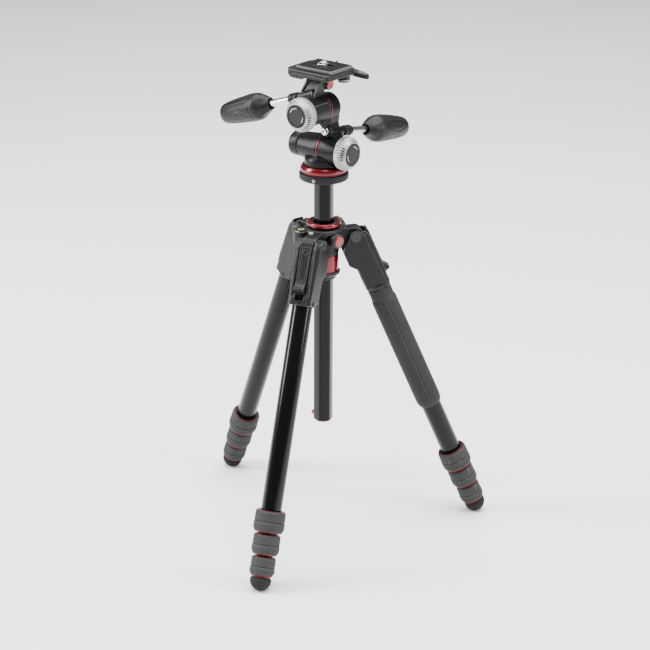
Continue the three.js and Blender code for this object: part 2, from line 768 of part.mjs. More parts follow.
// The holder: a barrel on the side-tilt axis, a leaning neck and the receiver tray on top.
function plateHolder() {
  const barrel = alongY(post(sideBarrel, sideBarrelStart, sideSplit - gap)).translate(0, 0, sideAxisHeight);
  const stub = alongY(post(axleRadius, sideSplit - 2, sideSplit + axleLength - 8));
  const neck = leaningNeck();
  const tray = receiverTray();
  const boss = aimed(post(rodBossRadius, sideRodStart, 31, 16), sideHandleDirection(), sideHandleRoot);
  const rodHole = post(rodRadius + gap, sideRodStart - gap, 60, 16);
  const rodBore = aimed(rodHole, sideHandleDirection(), sideHandleRoot);
  const [bossEnd, bossY, bossZ] = neckBoss;
  const pin = alongX(post(neckBossRadius, 0, bossEnd)).translate(0, bossY, bossZ);
  const stemEnd = sideBarrelStart + knobStemLength;
  const knobBore = alongY(post(knobStemRadius + gap, sideBarrelStart - 1, stemEnd, smallSides));
  return cut(
    join(barrel, stub.translate(0, 0, sideAxisHeight), neck, tray, boss, pin),
    rodBore,
    knobBore.translate(0, 0, sideAxisHeight),
    plateBody(gap, plateFloor - gap, receiverTop + 1),
  );
}

// Straight beside the link's upper housing, then leaning over it to the middle of the tray.
function leaningNeck() {
  const bend = sideAxisHeight + sideBarrel + 1;
  const rise = receiverFoot + 1 - bend;
  const upright = block(neckFootX, neckFootY, [sideAxisHeight, bend]);
  const lean = block(neckFootX, neckFootY, [bend, bend + rise]);
  const place = lean.getAttribute('position');
  for (let i = 0; i < place.count; i += 1) {
    if (place.getZ(i) < bend + rise / 2) continue;
    place.setX(i, place.getX(i) + neckLeanX);
    place.setY(i, place.getY(i) + neckLeanY);
  }
  return join(upright, lean);
}

function receiverTray() {
  const [x0, y0] = receiverFront;
  const [x1, y1] = receiverBack;
  const corner = 7;
  const tray = slab(outline([
    [x0 + corner, y0], [x1 - 2, y0], [x1, y0 + 2], [x1, y1 - 2], [x1 - 2, y1], [x0 + corner, y1],
    [x0, y1 - corner], [x0, y0 + corner],
  ]), receiverFoot, receiverTop);
  const bump = post(bumpRadius, bumpFoot, receiverFoot + 1, 16).translate(x1 - bumpRadius - 1, 15, 0);
  const jaw = sideSlab([
    [x0, receiverFoot + 1], [x0 + 3, jawFoot + 0.6], [x0 + 6, jawFoot], [x0 + jawReach - 5, jawFoot],
    [x0 + jawReach, receiverFoot + 1],
  ], y1 - corner);
  const [px, py] = leverPivot;
  const earFoot = leverHeight + leverThickness + gap;
  const earRoot = block([-leverEarRadius, leverEarRadius], [y1 - py - 1, 0], [earFoot, receiverTop]);
  const ear = join(post(leverEarRadius, earFoot, receiverTop, 16), earRoot);
  const pin = post(leverPinRadius, leverHeight, earFoot + 1, smallSides);
  return join(tray, jaw, bump, ear.translate(px, py, 0), pin.translate(px, py, 0));
}

// The lower part of the quick plate, which stands in the tray's pocket.
function plateBody(margin, low, high) {
  const halfX = plateLength / 2 - plateLip + margin;
  const halfY = plateWidth / 2 - plateLip + margin;
  return block([-halfX, halfX], [-halfY, halfY], [low, high]);
}

function quickPlate() {
  const lip = receiverTop + gap;
  const body = plateBody(0, plateFloor, lip + 0.5);
  const [halfX, halfY] = [plateLength / 2, plateWidth / 2];
  const corner = 3;
  const top = slab(outline([
    [-halfX + corner, -halfY], [halfX - corner, -halfY], [halfX, -halfY + corner], [halfX, halfY - corner],
    [halfX - corner, halfY], [-halfX + corner, halfY], [-halfX, halfY - corner], [-halfX, -halfY + corner],
  ]), lip, plateTop);
  const screwBore = post(screwRadius + runningGap, plateFloor - 1, plateTop + 1, 16);
  const headSeat = post(screwHeadRadius + gap, plateFloor - 1, plateFloor + 4 + gap, 16);
  return cut(join(body, top), screwBore, headSeat);
}

function cameraScrew() {
  return turned([
    [0, plateFloor + 0.2], [screwHeadRadius, plateFloor + 0.2], [screwHeadRadius, plateFloor + 4],
    [screwRadius, plateFloor + 4], [screwRadius, screwTop - 0.8], [screwRadius - 0.8, screwTop],
    [0, screwTop],
  ], 16);
}

function releaseLever() {
  const [px, py] = leverPivot;
  const [tx, ty] = leverTip;
  const top = leverHeight + leverThickness;
  const root = slab(outline([
    [px - 5, py - 3], [px + 3, py - 5.2], [leverBend, py - 5], [leverBend, py + 5.6], [px, py + 4.2],
    [px - 5, py + 2.4],
  ]), leverHeight, top);
  const tail = slab(outline([
    [leverBend, py - 5], [tx - 14, py - 4.6], [tx - 2, ty - 3.4], [tx, ty], [tx - 2, ty + 3.2],
    [tx - 16, ty + 3.4], [leverBend, py + 5.6],
  ]), leverHeight, top);
  const place = tail.getAttribute('position');
  for (let i = 0; i < place.count; i += 1) {
    const along = (place.getX(i) - leverBend) / (tx - leverBend);
    place.setZ(i, place.getZ(i) - leverDroop * along);
  }
  const bore = post(leverPinRadius + gap, leverHeight - 1, top + 1, smallSides);
  return cut(join(root, tail), bore.translate(px, py, 0));
}

function buildHead() {
  addPiece('pan_ring', panRing(), 'red');
  addPiece('head_body', headBody(), 'casting');
  addPiece('head_end_cap', headEndCap(), 'casting');
  addPiece('pan_lock_knob', panLockKnob(), 'rubber');
  addPiece('link_arm', linkArm(), 'casting');
  const tiltKnob = aimed(frictionKnob(), new THREE.Vector3(1, 0, 0), [linkEnd + gap, 0, tiltAxisHeight]);
  addPiece('tilt_friction_knob', tiltKnob, 'silver');
  addPiece('tilt_handle_rod', handleRod(rodNut, tiltHandleDirection(), tiltHandleRoot), 'silver');
  addPiece('tilt_handle_grip', handleGrip(tiltHandleDirection(), tiltHandleRoot), 'rubber');
  addPiece('plate_holder', plateHolder(), 'casting');
  const sideStart = sideBarrelStart - gap;
  const sideKnob = aimed(frictionKnob(), new THREE.Vector3(0, -1, 0), [0, sideStart, sideAxisHeight]);
  addPiece('side_friction_knob', sideKnob, 'silver');
  addPiece('side_handle_rod', handleRod(rodBlindEnd, sideHandleDirection(), sideHandleRoot), 'silver');
  addPiece('side_handle_grip', handleGrip(sideHandleDirection(), sideHandleRoot), 'rubber');
  addPiece('quick_plate', quickPlate(), 'plastic');
  addPiece('camera_screw', cameraScrew(), 'silver');
  addPiece('release_lever', releaseLever(), 'plastic');
}

for (const side of Object.keys(legHeadings)) buildLeg(side);
buildHub();
buildColumn();
buildHead();

export default group;
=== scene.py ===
# Looks of a camera tripod with a three-way head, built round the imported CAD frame.
# Lengths inside the builders are millimetres; everything is put in the scene in metres.
import math

import bmesh
import bpy
from mathutils import Matrix, Vector


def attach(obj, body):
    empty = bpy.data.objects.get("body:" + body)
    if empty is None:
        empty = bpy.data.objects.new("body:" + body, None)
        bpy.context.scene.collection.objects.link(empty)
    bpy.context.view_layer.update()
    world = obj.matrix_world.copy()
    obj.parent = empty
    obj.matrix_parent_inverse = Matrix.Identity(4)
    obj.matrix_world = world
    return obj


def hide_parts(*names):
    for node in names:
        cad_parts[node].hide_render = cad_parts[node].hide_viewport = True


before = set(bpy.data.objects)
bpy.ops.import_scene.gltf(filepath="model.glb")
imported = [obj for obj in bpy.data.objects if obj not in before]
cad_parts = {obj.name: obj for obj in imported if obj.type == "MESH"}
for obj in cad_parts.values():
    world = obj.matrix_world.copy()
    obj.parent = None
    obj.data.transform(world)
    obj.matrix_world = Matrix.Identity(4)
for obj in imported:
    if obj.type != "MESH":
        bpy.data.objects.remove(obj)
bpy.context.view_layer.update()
MM = 0.001
rad = math.radians

# ------------------------------------------------------------------ camera
CAMERA_AT = (1.42459, -1.79989, 1.18757)
CAMERA_AZIMUTH = 38.311
CAMERA_PITCH = 21.854
CAMERA_ROLL = 0.21
LENS = 111.17

camera_data = bpy.data.cameras.new("camera")
camera_data.lens = LENS
camera_data.sensor_width = 36
camera_data.clip_end = 50
camera = bpy.data.objects.new("camera", camera_data)
bpy.context.scene.collection.objects.link(camera)
camera.matrix_world = (
    Matrix.Translation(CAMERA_AT)
    @ Matrix.Rotation(rad(CAMERA_AZIMUTH), 4, "Z")
    @ Matrix.Rotation(rad(90 - CAMERA_PITCH), 4, "X")
    @ Matrix.Rotation(rad(CAMERA_ROLL), 4, "Z")
)
bpy.context.scene.camera = camera


# ------------------------------------------------------------------ materials
def shader(name, color, rough, metallic=0.0, specular=None, coat=0.0, coat_rough=0.1):
    mat = bpy.data.materials.new(name)
    mat.use_nodes = True
    mat.diffuse_color = (*color, 1)
    nodes = mat.node_tree.nodes
    bsdf = nodes["Principled BSDF"]
    bsdf.inputs["Base Color"].default_value = (*color, 1)
    bsdf.inputs["Roughness"].default_value = rough
    bsdf.inputs["Metallic"].default_value = metallic
    if specular is not None:
        bsdf.inputs["Specular IOR Level"].default_value = specular
    bsdf.inputs["Coat Weight"].default_value = coat
    bsdf.inputs["Coat Roughness"].default_value = coat_rough
    return mat, nodes, mat.node_tree.links, bsdf


def place_coords(nodes, links, scale=(1, 1, 1)):
    coord = nodes.new("ShaderNodeTexCoord")
    mapping = nodes.new("ShaderNodeMapping")
    mapping.inputs["Scale"].default_value = scale
    links.new(coord.outputs["Object"], mapping.inputs["Vector"])
    return mapping.outputs["Vector"]


def noise(nodes, links, vector, scale, detail=3.0, rough=0.55):
    tex = nodes.new("ShaderNodeTexNoise")
    tex.inputs["Scale"].default_value = scale
    tex.inputs["Detail"].default_value = detail
    tex.inputs["Roughness"].default_value = rough
    links.new(vector, tex.inputs["Vector"])
    return tex.outputs["Fac"]


def ramp(nodes, links, fac, stops):
    node = nodes.new("ShaderNodeValToRGB")
    node.color_ramp.elements[0].position = stops[0][0]
    node.color_ramp.elements[0].color = (*stops[0][1], 1)
    node.color_ramp.elements[1].position = stops[-1][0]
    node.color_ramp.elements[1].color = (*stops[-1][1], 1)
    for position, color in stops[1:-1]:
        node.color_ramp.elements.new(position).color = (*color, 1)
    links.new(fac, node.inputs["Fac"])
    return node.outputs["Color"]


def span(nodes, links, fac, low, high):
    node = nodes.new("ShaderNodeMapRange")
    node.inputs["To Min"].default_value = low
    node.inputs["To Max"].default_value = high
    links.new(fac, node.inputs["Value"])
    return node.outputs["Result"]


def bump(nodes, links, bsdf, height, strength, distance):
    node = nodes.new("ShaderNodeBump")
    node.inputs["Strength"].default_value = strength
    node.inputs["Distance"].default_value = distance
    links.new(height, node.inputs["Height"])
    links.new(node.outputs["Normal"], bsdf.inputs["Normal"])


def surface(name, dark, light, rough, spread, metallic=0.0, grain=900.0, grain_depth=0.00004,
            grain_strength=0.5, patch=14.0, edge=None, stretch=(1, 1, 1), coat=0.0, coat_rough=0.1,
            specular=None):
    """A finish with patchy colour, uneven gloss, a fine grain and, on edge, a lighter colour on sharp convex
    edges.
    """
    middle = tuple((a + b) / 2 for a, b in zip(dark, light))
    mat, nodes, links, bsdf = shader(name, middle, rough, metallic, specular, coat, coat_rough)
    vector = place_coords(nodes, links, stretch)
    broad = noise(nodes, links, vector, patch, 4)
    fine = noise(nodes, links, vector, grain, 2)
    color = ramp(nodes, links, broad, [(0.3, dark), (0.7, light)])
    if edge is not None:
        # Lighter colour where the mesh is sharply convex, from Pointiness.
        geometry = nodes.new("ShaderNodeNewGeometry")
        convex_edge_mask = ramp(nodes, links, geometry.outputs["Pointiness"], [(0.505, (0, 0, 0)), (0.56, (1, 1, 1))])
        mix = nodes.new("ShaderNodeMix")
        mix.data_type = "RGBA"
        links.new(convex_edge_mask, mix.inputs["Factor"])
        links.new(color, mix.inputs["A"])
        mix.inputs["B"].default_value = (*edge, 1)
        color = mix.outputs["Result"]
    links.new(color, bsdf.inputs["Base Color"])
    links.new(span(nodes, links, broad, rough - spread, rough + spread), bsdf.inputs["Roughness"])
    bump(nodes, links, bsdf, fine, grain_strength, grain_depth)
    return mat


CASTING = surface("cast_satin_grey", (0.0085, 0.0088, 0.0094), (0.014, 0.0144, 0.0152), 0.38, 0.05, 0.2,
                  grain=1400, grain_depth=0.00003, edge=(0.085, 0.087, 0.092), specular=0.2)
HEAD_CAST = surface("cast_satin_black", (0.0048, 0.0050, 0.0054), (0.0082, 0.0085, 0.0092), 0.32, 0.05, 0.2,
                    grain=1400, grain_depth=0.00003, edge=(0.045, 0.046, 0.049), specular=0.16)
TUBE = surface("anodised_black", (0.0022, 0.0023, 0.0026), (0.0040, 0.0042, 0.0046), 0.22, 0.03, 0.3,
               grain=700, grain_depth=0.00001, grain_strength=0.25, stretch=(1, 1, 0.08), coat=0.15,
               coat_rough=0.12, specular=0.14)
COLUMN = surface("anodised_black_column", (0.0014, 0.0015, 0.0016), (0.0026, 0.0027, 0.0029), 0.22, 0.03, 0.3,
                 grain=700, grain_depth=0.00001, grain_strength=0.25, stretch=(1, 1, 0.08), coat=0.15,
                 coat_rough=0.14, specular=0.12)
RUBBER = surface("lock_rubber", (0.020, 0.0212, 0.0212), (0.029, 0.0305, 0.0305), 0.72, 0.06, 0,
                 grain=2200, grain_depth=0.00005, grain_strength=0.7, edge=(0.10, 0.102, 0.102),
                 specular=0.12)
HANDLE_RUBBER = surface("handle_rubber", (0.0045, 0.0047, 0.005), (0.0075, 0.0078, 0.0082), 0.40, 0.06, 0,
                        grain=1800, grain_depth=0.00005, grain_strength=0.5, edge=(0.055, 0.056, 0.058),
                        specular=0.2)
GRIP_RUBBER = surface("leg_grip_rubber", (0.018, 0.0184, 0.0192), (0.024, 0.0245, 0.0255), 0.62, 0.06, 0,
                      grain=2600, grain_depth=0.00006, grain_strength=0.8, edge=(0.08, 0.081, 0.084),
                      specular=0.15)
FOOT_RUBBER = surface("foot_rubber", (0.013, 0.0134, 0.0134), (0.020, 0.0205, 0.0205), 0.75, 0.06, 0,
                      grain=1500, grain_depth=0.00006, grain_strength=0.7, specular=0.12)
RED = surface("anodised_red", (0.12, 0.0004, 0.004), (0.17, 0.0006, 0.006), 0.24, 0.04, 0.5,
              grain=900, grain_depth=0.00001, grain_strength=0.3, coat=0.3, coat_rough=0.1)
DARK_RED = surface("rim_red", (0.075, 0.0008, 0.002), (0.115, 0.0012, 0.003), 0.35, 0.04, 0.3,
                   grain=900, grain_depth=0.00001, grain_strength=0.3)
RED_PLASTIC = surface("red_button", (0.24, 0.003, 0.001), (0.31, 0.005, 0.002), 0.3, 0.05, 0,
                      grain=900, grain_depth=0.00001, coat=0.4)
SILVER = surface("satin_silver", (0.42, 0.425, 0.43), (0.54, 0.545, 0.55), 0.34, 0.05, 0.8,
                 grain=1600, grain_depth=0.00002, grain_strength=0.35, specular=0.4)
KNOB_SILVER = surface("knob_silver", (0.29, 0.293, 0.298), (0.36, 0.364, 0.37), 0.38, 0.05, 0.55,
                      grain=1600, grain_depth=0.00002, grain_strength=0.3, specular=0.4)
STEEL = surface("brushed_rod", (0.40, 0.40, 0.41), (0.54, 0.54, 0.55), 0.24, 0.05, 1.0,
                grain=1200, grain_depth=0.00001, grain_strength=0.25)
BOLT = surface("dark_bolt", (0.03, 0.031, 0.033), (0.045, 0.046, 0.048), 0.36, 0.05, 0.5,
               grain=1400, grain_depth=0.00002, specular=0.4)
GREY_FACE = surface("knob_face_grey", (0.018, 0.0186, 0.0196), (0.027, 0.028, 0.0295), 0.5, 0.05, 0.1,
                    grain=2600, grain_depth=0.00005, grain_strength=0.8, specular=0.15)
BLACK = surface("black_plastic", (0.004, 0.004, 0.0045), (0.008, 0.008, 0.0085), 0.36, 0.05, 0,
                grain=1500, grain_depth=0.00003, edge=(0.025, 0.026, 0.027), specular=0.15)
PLATE = surface("plate_grey", (0.016, 0.0164, 0.0174), (0.024, 0.0245, 0.026), 0.42, 0.05, 0.15,
                grain=1600, grain_depth=0.00004, edge=(0.12, 0.122, 0.128), specular=0.22)
PAD = surface("plate_rubber", (0.0045, 0.0045, 0.005), (0.0085, 0.0085, 0.009), 0.6, 0.05, 0,
              grain=2600, grain_depth=0.00008, grain_strength=0.9, specular=0.12)
DISC = surface("disc_grip", (0.010, 0.0104, 0.011), (0.016, 0.0165, 0.0175), 0.55, 0.05, 0.1,
               grain=1700, grain_depth=0.0002, grain_strength=0.9, specular=0.18)
INK = surface("black_print", (0.004, 0.004, 0.004), (0.008, 0.008, 0.008), 0.5, 0.03, 0, specular=0.1)
LEVEL_FLUID = surface("level_fluid", (0.50, 0.56, 0.30), (0.62, 0.68, 0.42), 0.08, 0.02, 0,
                      grain=300, grain_depth=0.000005, coat=1.0, coat_rough=0.03)


# ------------------------------------------------------------------ mesh helpers
def new_object(name, verts, faces):
    mesh = bpy.data.meshes.new(name)
    mesh.from_pydata([tuple(v) for v in verts], [], faces)
    mesh.update()
    obj = bpy.data.objects.new(name, mesh)
    bpy.context.scene.collection.objects.link(obj)
    return obj


def rounded(profile, fillet, steps=3):
    """Rounds the corners of an open [radius, height] profile. A third value sets one corner's fillet."""
    points = []
    for i, point in enumerate(profile):
        size = point[2] if len(point) > 2 else fillet
        if i in (0, len(profile) - 1) or size <= 0:
            points.append((point[0], point[1]))
            continue
        here = Vector(point[:2])
        back = Vector(profile[i - 1][:2]) - here
        ahead = Vector(profile[i + 1][:2]) - here
        reach = min(size, back.length * 0.45, ahead.length * 0.45)
        start = here + back.normalized() * reach
        end = here + ahead.normalized() * reach
        for k in range(steps + 1):
            t = k / steps
            points.append(tuple(start * (1 - t) ** 2 + here * 2 * t * (1 - t) + end * t * t))
    return points


def lathe(name, profile, sides=64, fillet=0.4, mod=None, steps=3, closed=False):
    """A solid of revolution about z. mod(angle, radius, height) may change each point's radius."""
    points = rounded(profile, fillet, steps) if not closed else [(p[0], p[1]) for p in profile]
    verts, faces, rings = [], [], []
    for radius, height in points:
        if radius < 1e-6:
            rings.append([len(verts)])
            verts.append((0, 0, height))
            continue
        ring = []
        for k in range(sides):
            angle = 2 * math.pi * k / sides
            r = mod(angle, radius, height) if mod else radius
            ring.append(len(verts))
            verts.append((r * math.cos(angle), r * math.sin(angle), height))
        rings.append(ring)
    pairs = list(zip(rings, rings[1:])) + ([(rings[-1], rings[0])] if closed else [])
    for a, b in pairs:
        for k in range(sides):
            n = (k + 1) % sides
            if len(a) == 1 and len(b) == 1:
                break
            if len(a) == 1:
                faces.append((a[0], b[n], b[k]))
            elif len(b) == 1:
                faces.append((a[k], a[n], b[0]))
            else:
                faces.append((a[k], a[n], b[n], b[k]))
    obj = new_object(name, verts, faces)
    outward(obj)
    return obj


def outward(obj):
    bm = bmesh.new()
    bm.from_mesh(obj.data)
    bmesh.ops.recalc_face_normals(bm, faces=bm.faces)
    bm.to_mesh(obj.data)
    bm.free()


def prism(name, outline, low, high):
    """An outline in x and y, pulled along z."""
    count = len(outline)
    verts = [(x, y, low) for x, y in outline] + [(x, y, high) for x, y in outline]
    faces = [tuple(range(count))[::-1], tuple(range(count, 2 * count))]
    faces += [(k, (k + 1) % count, count + (k + 1) % count, count + k) for k in range(count)]
    obj = new_object(name, verts, faces)
    outward(obj)
    return obj


def side_prism(name, outline, half):
    """An outline in x and z, pulled across y."""
    obj = prism(name, outline, -half, half)
    obj.data.transform(Matrix.Rotation(rad(90), 4, "X"))
    return obj


def brick(name, x, y, z):
    return prism(name, [(x[0], y[0]), (x[1], y[0]), (x[1], y[1]), (x[0], y[1])], z[0], z[1])


def round_outline(points, size, steps=5):
    """Rounds every corner of a closed outline in x and y."""
    result = []
    count = len(points)
    for i, point in enumerate(points):
        radius = point[2] if len(point) > 2 else size
        here = Vector(point[:2])
        back = Vector(points[i - 1][:2]) - here
        ahead = Vector(points[(i + 1) % count][:2]) - here
        reach = min(radius, back.length * 0.48, ahead.length * 0.48)
        start = here + back.normalized() * reach
        end = here + ahead.normalized() * reach
        for k in range(steps + 1):
            t = k / steps
            result.append(tuple(start * (1 - t) ** 2 + here * 2 * t * (1 - t) + end * t * t))
    return result


def rounded_box(half_x, half_y, size):
    return round_outline([(-half_x, -half_y), (half_x, -half_y), (half_x, half_y), (-half_x, half_y)], size)


def along_x(obj):
    obj.data.transform(Matrix.Rotation(rad(90), 4, "Y"))
    return obj


def along_y(obj):
    obj.data.transform(Matrix.Rotation(rad(-90), 4, "X"))
    return obj


def move(obj, x=0, y=0, z=0):
    obj.data.transform(Matrix.Translation((x, y, z)))
    return obj


def turn(obj, matrix):
    obj.data.transform(matrix)
    if matrix.to_3x3().determinant() < 0:
        outward(obj)
    return obj


def aim(direction, root=(0, 0, 0)):
    rotation = Vector((0, 0, 1)).rotation_difference(Vector(direction).normalized()).to_matrix().to_4x4()
    return Matrix.Translation(root) @ rotation


def discard(obj):
    mesh = obj.data
    bpy.data.objects.remove(obj)
    bpy.data.meshes.remove(mesh)


def applied(obj):
    """Bakes an object's modifiers into its mesh."""
    depsgraph = bpy.context.evaluated_depsgraph_get()
    depsgraph.update()
    mesh = bpy.data.meshes.new_from_object(obj.evaluated_get(depsgraph))
    old = obj.data
    obj.modifiers.clear()
    obj.data = mesh
    bpy.data.meshes.remove(old)
    return obj


def combine(base, tools, how):
    for tool in tools:
        modifier = base.modifiers.new("join", "BOOLEAN")
        modifier.operation = how
        modifier.solver = "MANIFOLD"
        modifier.object = tool
    applied(base)
    for tool in tools:
        discard(tool)
    return base


def union(base, *tools):
    return combine(base, tools, "UNION")


def cut(base, *tools):
    return combine(base, tools, "DIFFERENCE")


def soften(obj, voxel=0.5, rounds=4, keep=0.4, factor=0.5):
    """Rounds a built-up casting: remesh, smooth, then thin out."""
    modifier = obj.modifiers.new("remesh", "REMESH")
    modifier.mode = "VOXEL"
    modifier.voxel_size = voxel
    modifier.use_smooth_shade = True
    smooth = obj.modifiers.new("smooth", "SMOOTH")
    smooth.factor = factor
    smooth.iterations = rounds
    if keep < 1:
        thin = obj.modifiers.new("thin", "DECIMATE")
        thin.ratio = keep
    return applied(obj)


def bevel(obj, width, segments=3, angle=30):
    modifier = obj.modifiers.new("bevel", "BEVEL")
    modifier.width = width
    modifier.segments = segments
    modifier.limit_method = "ANGLE"
    modifier.angle_limit = rad(angle)
    modifier.harden_normals = False
    return applied(obj)


def shade(obj, angle=35):
    obj.data.shade_smooth()
    if angle < 180:
        obj.data.set_sharp_from_angle(angle=rad(angle))


def piece(obj, name, body, material, replaces=None, place=None, angle=35):
    """Puts a finished mesh in the scene in metres, on its body."""
    if place is not None:
        turn(obj, place)
    obj.data.transform(Matrix.Scale(MM, 4))
    obj.name = name
    obj.data.name = name
    obj.data.materials.clear()
    obj.data.materials.append(material)
    shade(obj, angle)
    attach(obj, body)
    if replaces:
        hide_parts(replaces)
    return obj


def copy_of(obj, name):
    twin = bpy.data.objects.new(name, obj.data.copy())
    bpy.context.scene.collection.objects.link(twin)
    return twin


def dense(profile, step=1.0):
    """Adds points along a profile so that a mod has something to move."""
    points = [profile[0]]
    for a, b in zip(profile, profile[1:]):
        count = max(1, int(math.hypot(b[0] - a[0], b[1] - a[1]) / step))
        points += [(a[0] + (b[0] - a[0]) * k / count, a[1] + (b[1] - a[1]) * k / count)
                   for k in range(1, count + 1)]
    return points


def bell(x, width):
    """1 at x = 0, falling smoothly to 0 at the width."""
    t = min(1.0, abs(x) / width)
    return (1 - t * t) ** 2


def post(name, radius, low, high, sides=48, fillet=0.0):
    return lathe(name, [(0, low), (radius, low), (radius, high), (0, high)], sides, fillet)


def tube(name, outer, inner, low, high, sides=64, fillet=0.3):
    points = rounded([(inner, (low + high) / 2), (inner, low), (outer, low), (outer, high), (inner, high),
                      (inner, (low + high) / 2)], fillet)
    return lathe(name, points[:-1], sides, 0, closed=True)


def ring(name, outer, inner, low, high, sides=64, fillet=0.25):
    return tube(name, outer, inner, low, high, sides, fillet)


def painted_highlight_arc(name, radius, width, height, low, start, end, steps=24):
    """A thin raised arc lying in x and y, used for the painted highlight arcs on the knob faces."""
    outline = []
    for k in range(steps + 1):
        angle = rad(start + (end - start) * k / steps)
        outline.append(((radius + width / 2) * math.cos(angle), (radius + width / 2) * math.sin(angle)))
    for k in range(steps, -1, -1):
        angle = rad(start + (end - start) * k / steps)
        outline.append(((radius - width / 2) * math.cos(angle), (radius - width / 2) * math.sin(angle)))
    count = len(outline)
    verts = [(x, y, low) for x, y in outline] + [(x, y, low + height) for x, y in outline]
    faces = []
    half = count // 2
    for k in range(half - 1):
        a, b, c, d = k, k + 1, count - 2 - k, count - 1 - k
        faces += [(a, d, c, b), (count + a, count + b, count + c, count + d)]
    faces += [(k, (k + 1) % count, count + (k + 1) % count, count + k) for k in range(count)]
    obj = new_object(name, verts, faces)
    outward(obj)
    return obj


# ------------------------------------------------------------------ layout, as in the CAD
PIVOT_HEIGHT, PIVOT_RADIUS, LEG_ANGLE = 385, 38, 23.2
FRONT_HEADING = 16.4
HEADINGS = {"front": FRONT_HEADING, "right": FRONT_HEADING + 120, "left": FRONT_HEADING + 240}
TUBE_RADII = (12.5, 10.9, 9.3, 7.7)
TUBE_WALL = 1.2
TUBE_SPANS = ((58, 334.7), (30, 363.2), (36, 390.1), (42, 410.7))
LOCK_RADII = (18.8, 16.8, 15.2)
LOCK_SPANS = ((321.4, 347.6), (349.9, 374.5), (376.8, 400.4))
FOOT_TOP, FOOT_CENTRE, FOOT_RADIUS = 402.0, 405.4, 13.0
GRIP_TOP, GRIP_FOOT = 76, 250
TILT_HEIGHT, SIDE_HEIGHT = 493.5, 544
TILT_ROOT, TILT_DROP = (11, -10, 518.5), 10.5
SIDE_ROOT, SIDE_DROP = (9, -20, 567.6), 19.5
TILT_WAY = (0, math.cos(rad(TILT_DROP)), -math.sin(rad(TILT_DROP)))
SIDE_WAY = (-math.cos(rad(SIDE_DROP)), 0, -math.sin(rad(SIDE_DROP)))
SOCKET_HEADING = FRONT_HEADING + 60
CLAMP_HEADING = FRONT_HEADING + 180
LEVEL_HEADING = FRONT_HEADING + 300
BUTTON_HEADING = FRONT_HEADING + 30 + 240
BOSS_HEIGHT, LEVEL_REACH = 384, 27.5
PAN_KNOB_HEADING, PAN_KNOB_HEIGHT = 219.9, 482.2
LEVER_PIVOT = (-12, 33.5)
COLUMN_FOOT = 142


def spoke(degrees):
    return (math.sin(rad(degrees)), -math.cos(rad(degrees)), 0)


def leg_place(side):
    way = spoke(HEADINGS[side])
    return (
        Matrix.Translation((way[0] * PIVOT_RADIUS, way[1] * PIVOT_RADIUS, PIVOT_HEIGHT))
        @ Matrix.Rotation(rad(HEADINGS[side] - 90), 4, "Z")
        @ Matrix.Rotation(rad(-LEG_ANGLE), 4, "Y")
    )


def to_heading(obj, degrees, height=0):
    return turn(obj, Matrix.Translation((0, 0, height)) @ Matrix.Rotation(rad(degrees - 90), 4, "Z"))


def to_level(obj):
    way = spoke(LEVEL_HEADING)
    return move(obj, way[0] * LEVEL_REACH, way[1] * LEVEL_REACH)


# ------------------------------------------------------------------ leg pieces
def bracket_casting():
    half = 16.5
    body = side_prism("bracket", [
        (-5.5, 6), (5, 6), (11.5, -2), (13.2, -8), (13.2, -60), (16, -66), (16, -69), (14.3, -75),
        (-14.3, -70), (-14.3, -40), (-18.5, -36), (-22.5, -31), (-22.5, -14), (-20, -9),
    ], half)
    chamfers, narrowing = [], []
    for w in (-1, 1):
        chamfers.append(prism("chamfer", [(8.7, w * 17.5), (29.2, w * 17.5), (29.2, w * -4)], -76, 20))
        wedge = prism("narrow", [(15, w * 16.5), (76, w * 14.2), (76, w * 20), (15, w * 20)], -40, 40)
        narrowing.append(turn(wedge, Matrix.Rotation(rad(90), 4, "Y")))
    cut(body, *chamfers, *narrowing)
    rails = []
    for w in (-1, 1):
        rail = side_prism("rail", [
            (8, 2.5), (12.6, 1.5), (15.9, -6), (16.2, -57), (15.6, -64), (8, -66),
        ], 1.5)
        rails.append(move(rail, y=w * 10.4))
    sill = brick("sill", (8, 15.4), (-10.4, 10.4), (-72, -69))
    bead = lathe("bead", [(0, -75), (14.9, -75), (15.7, -73.5), (15.7, -71), (14.8, -69), (0, -69)], 64, 0.5)
    union(body, *rails, sill)
    rib = side_prism("rib", [(-14, -22), (-15.6, -30), (-15.6, -66), (-14, -69)], 3.5)
    union(body, rib, bead)
    cut(
        body,
        brick("lug", (-24, 12), (-8.3, 8.3), (-15.5, 20)),
        brick("lobe", (-24, -13.8), (-10.4, 10.4), (-41, 20)),
        brick("slot", (12.4, 20), (-5.6, 5.6), (-69, -61)),
        post("bore", 12.8, -76, -57.7, 64),
        post("inner", 11.2, -59, -24, 64),
        along_y(post("pin", 3.3, -18, 18)),
        along_y(post("seat", 5.9, 14.3, 18)),
        along_y(post("seat", 5.9, -18, -14.3)),
    )
    return soften(body, 0.5, 4, 0.3)


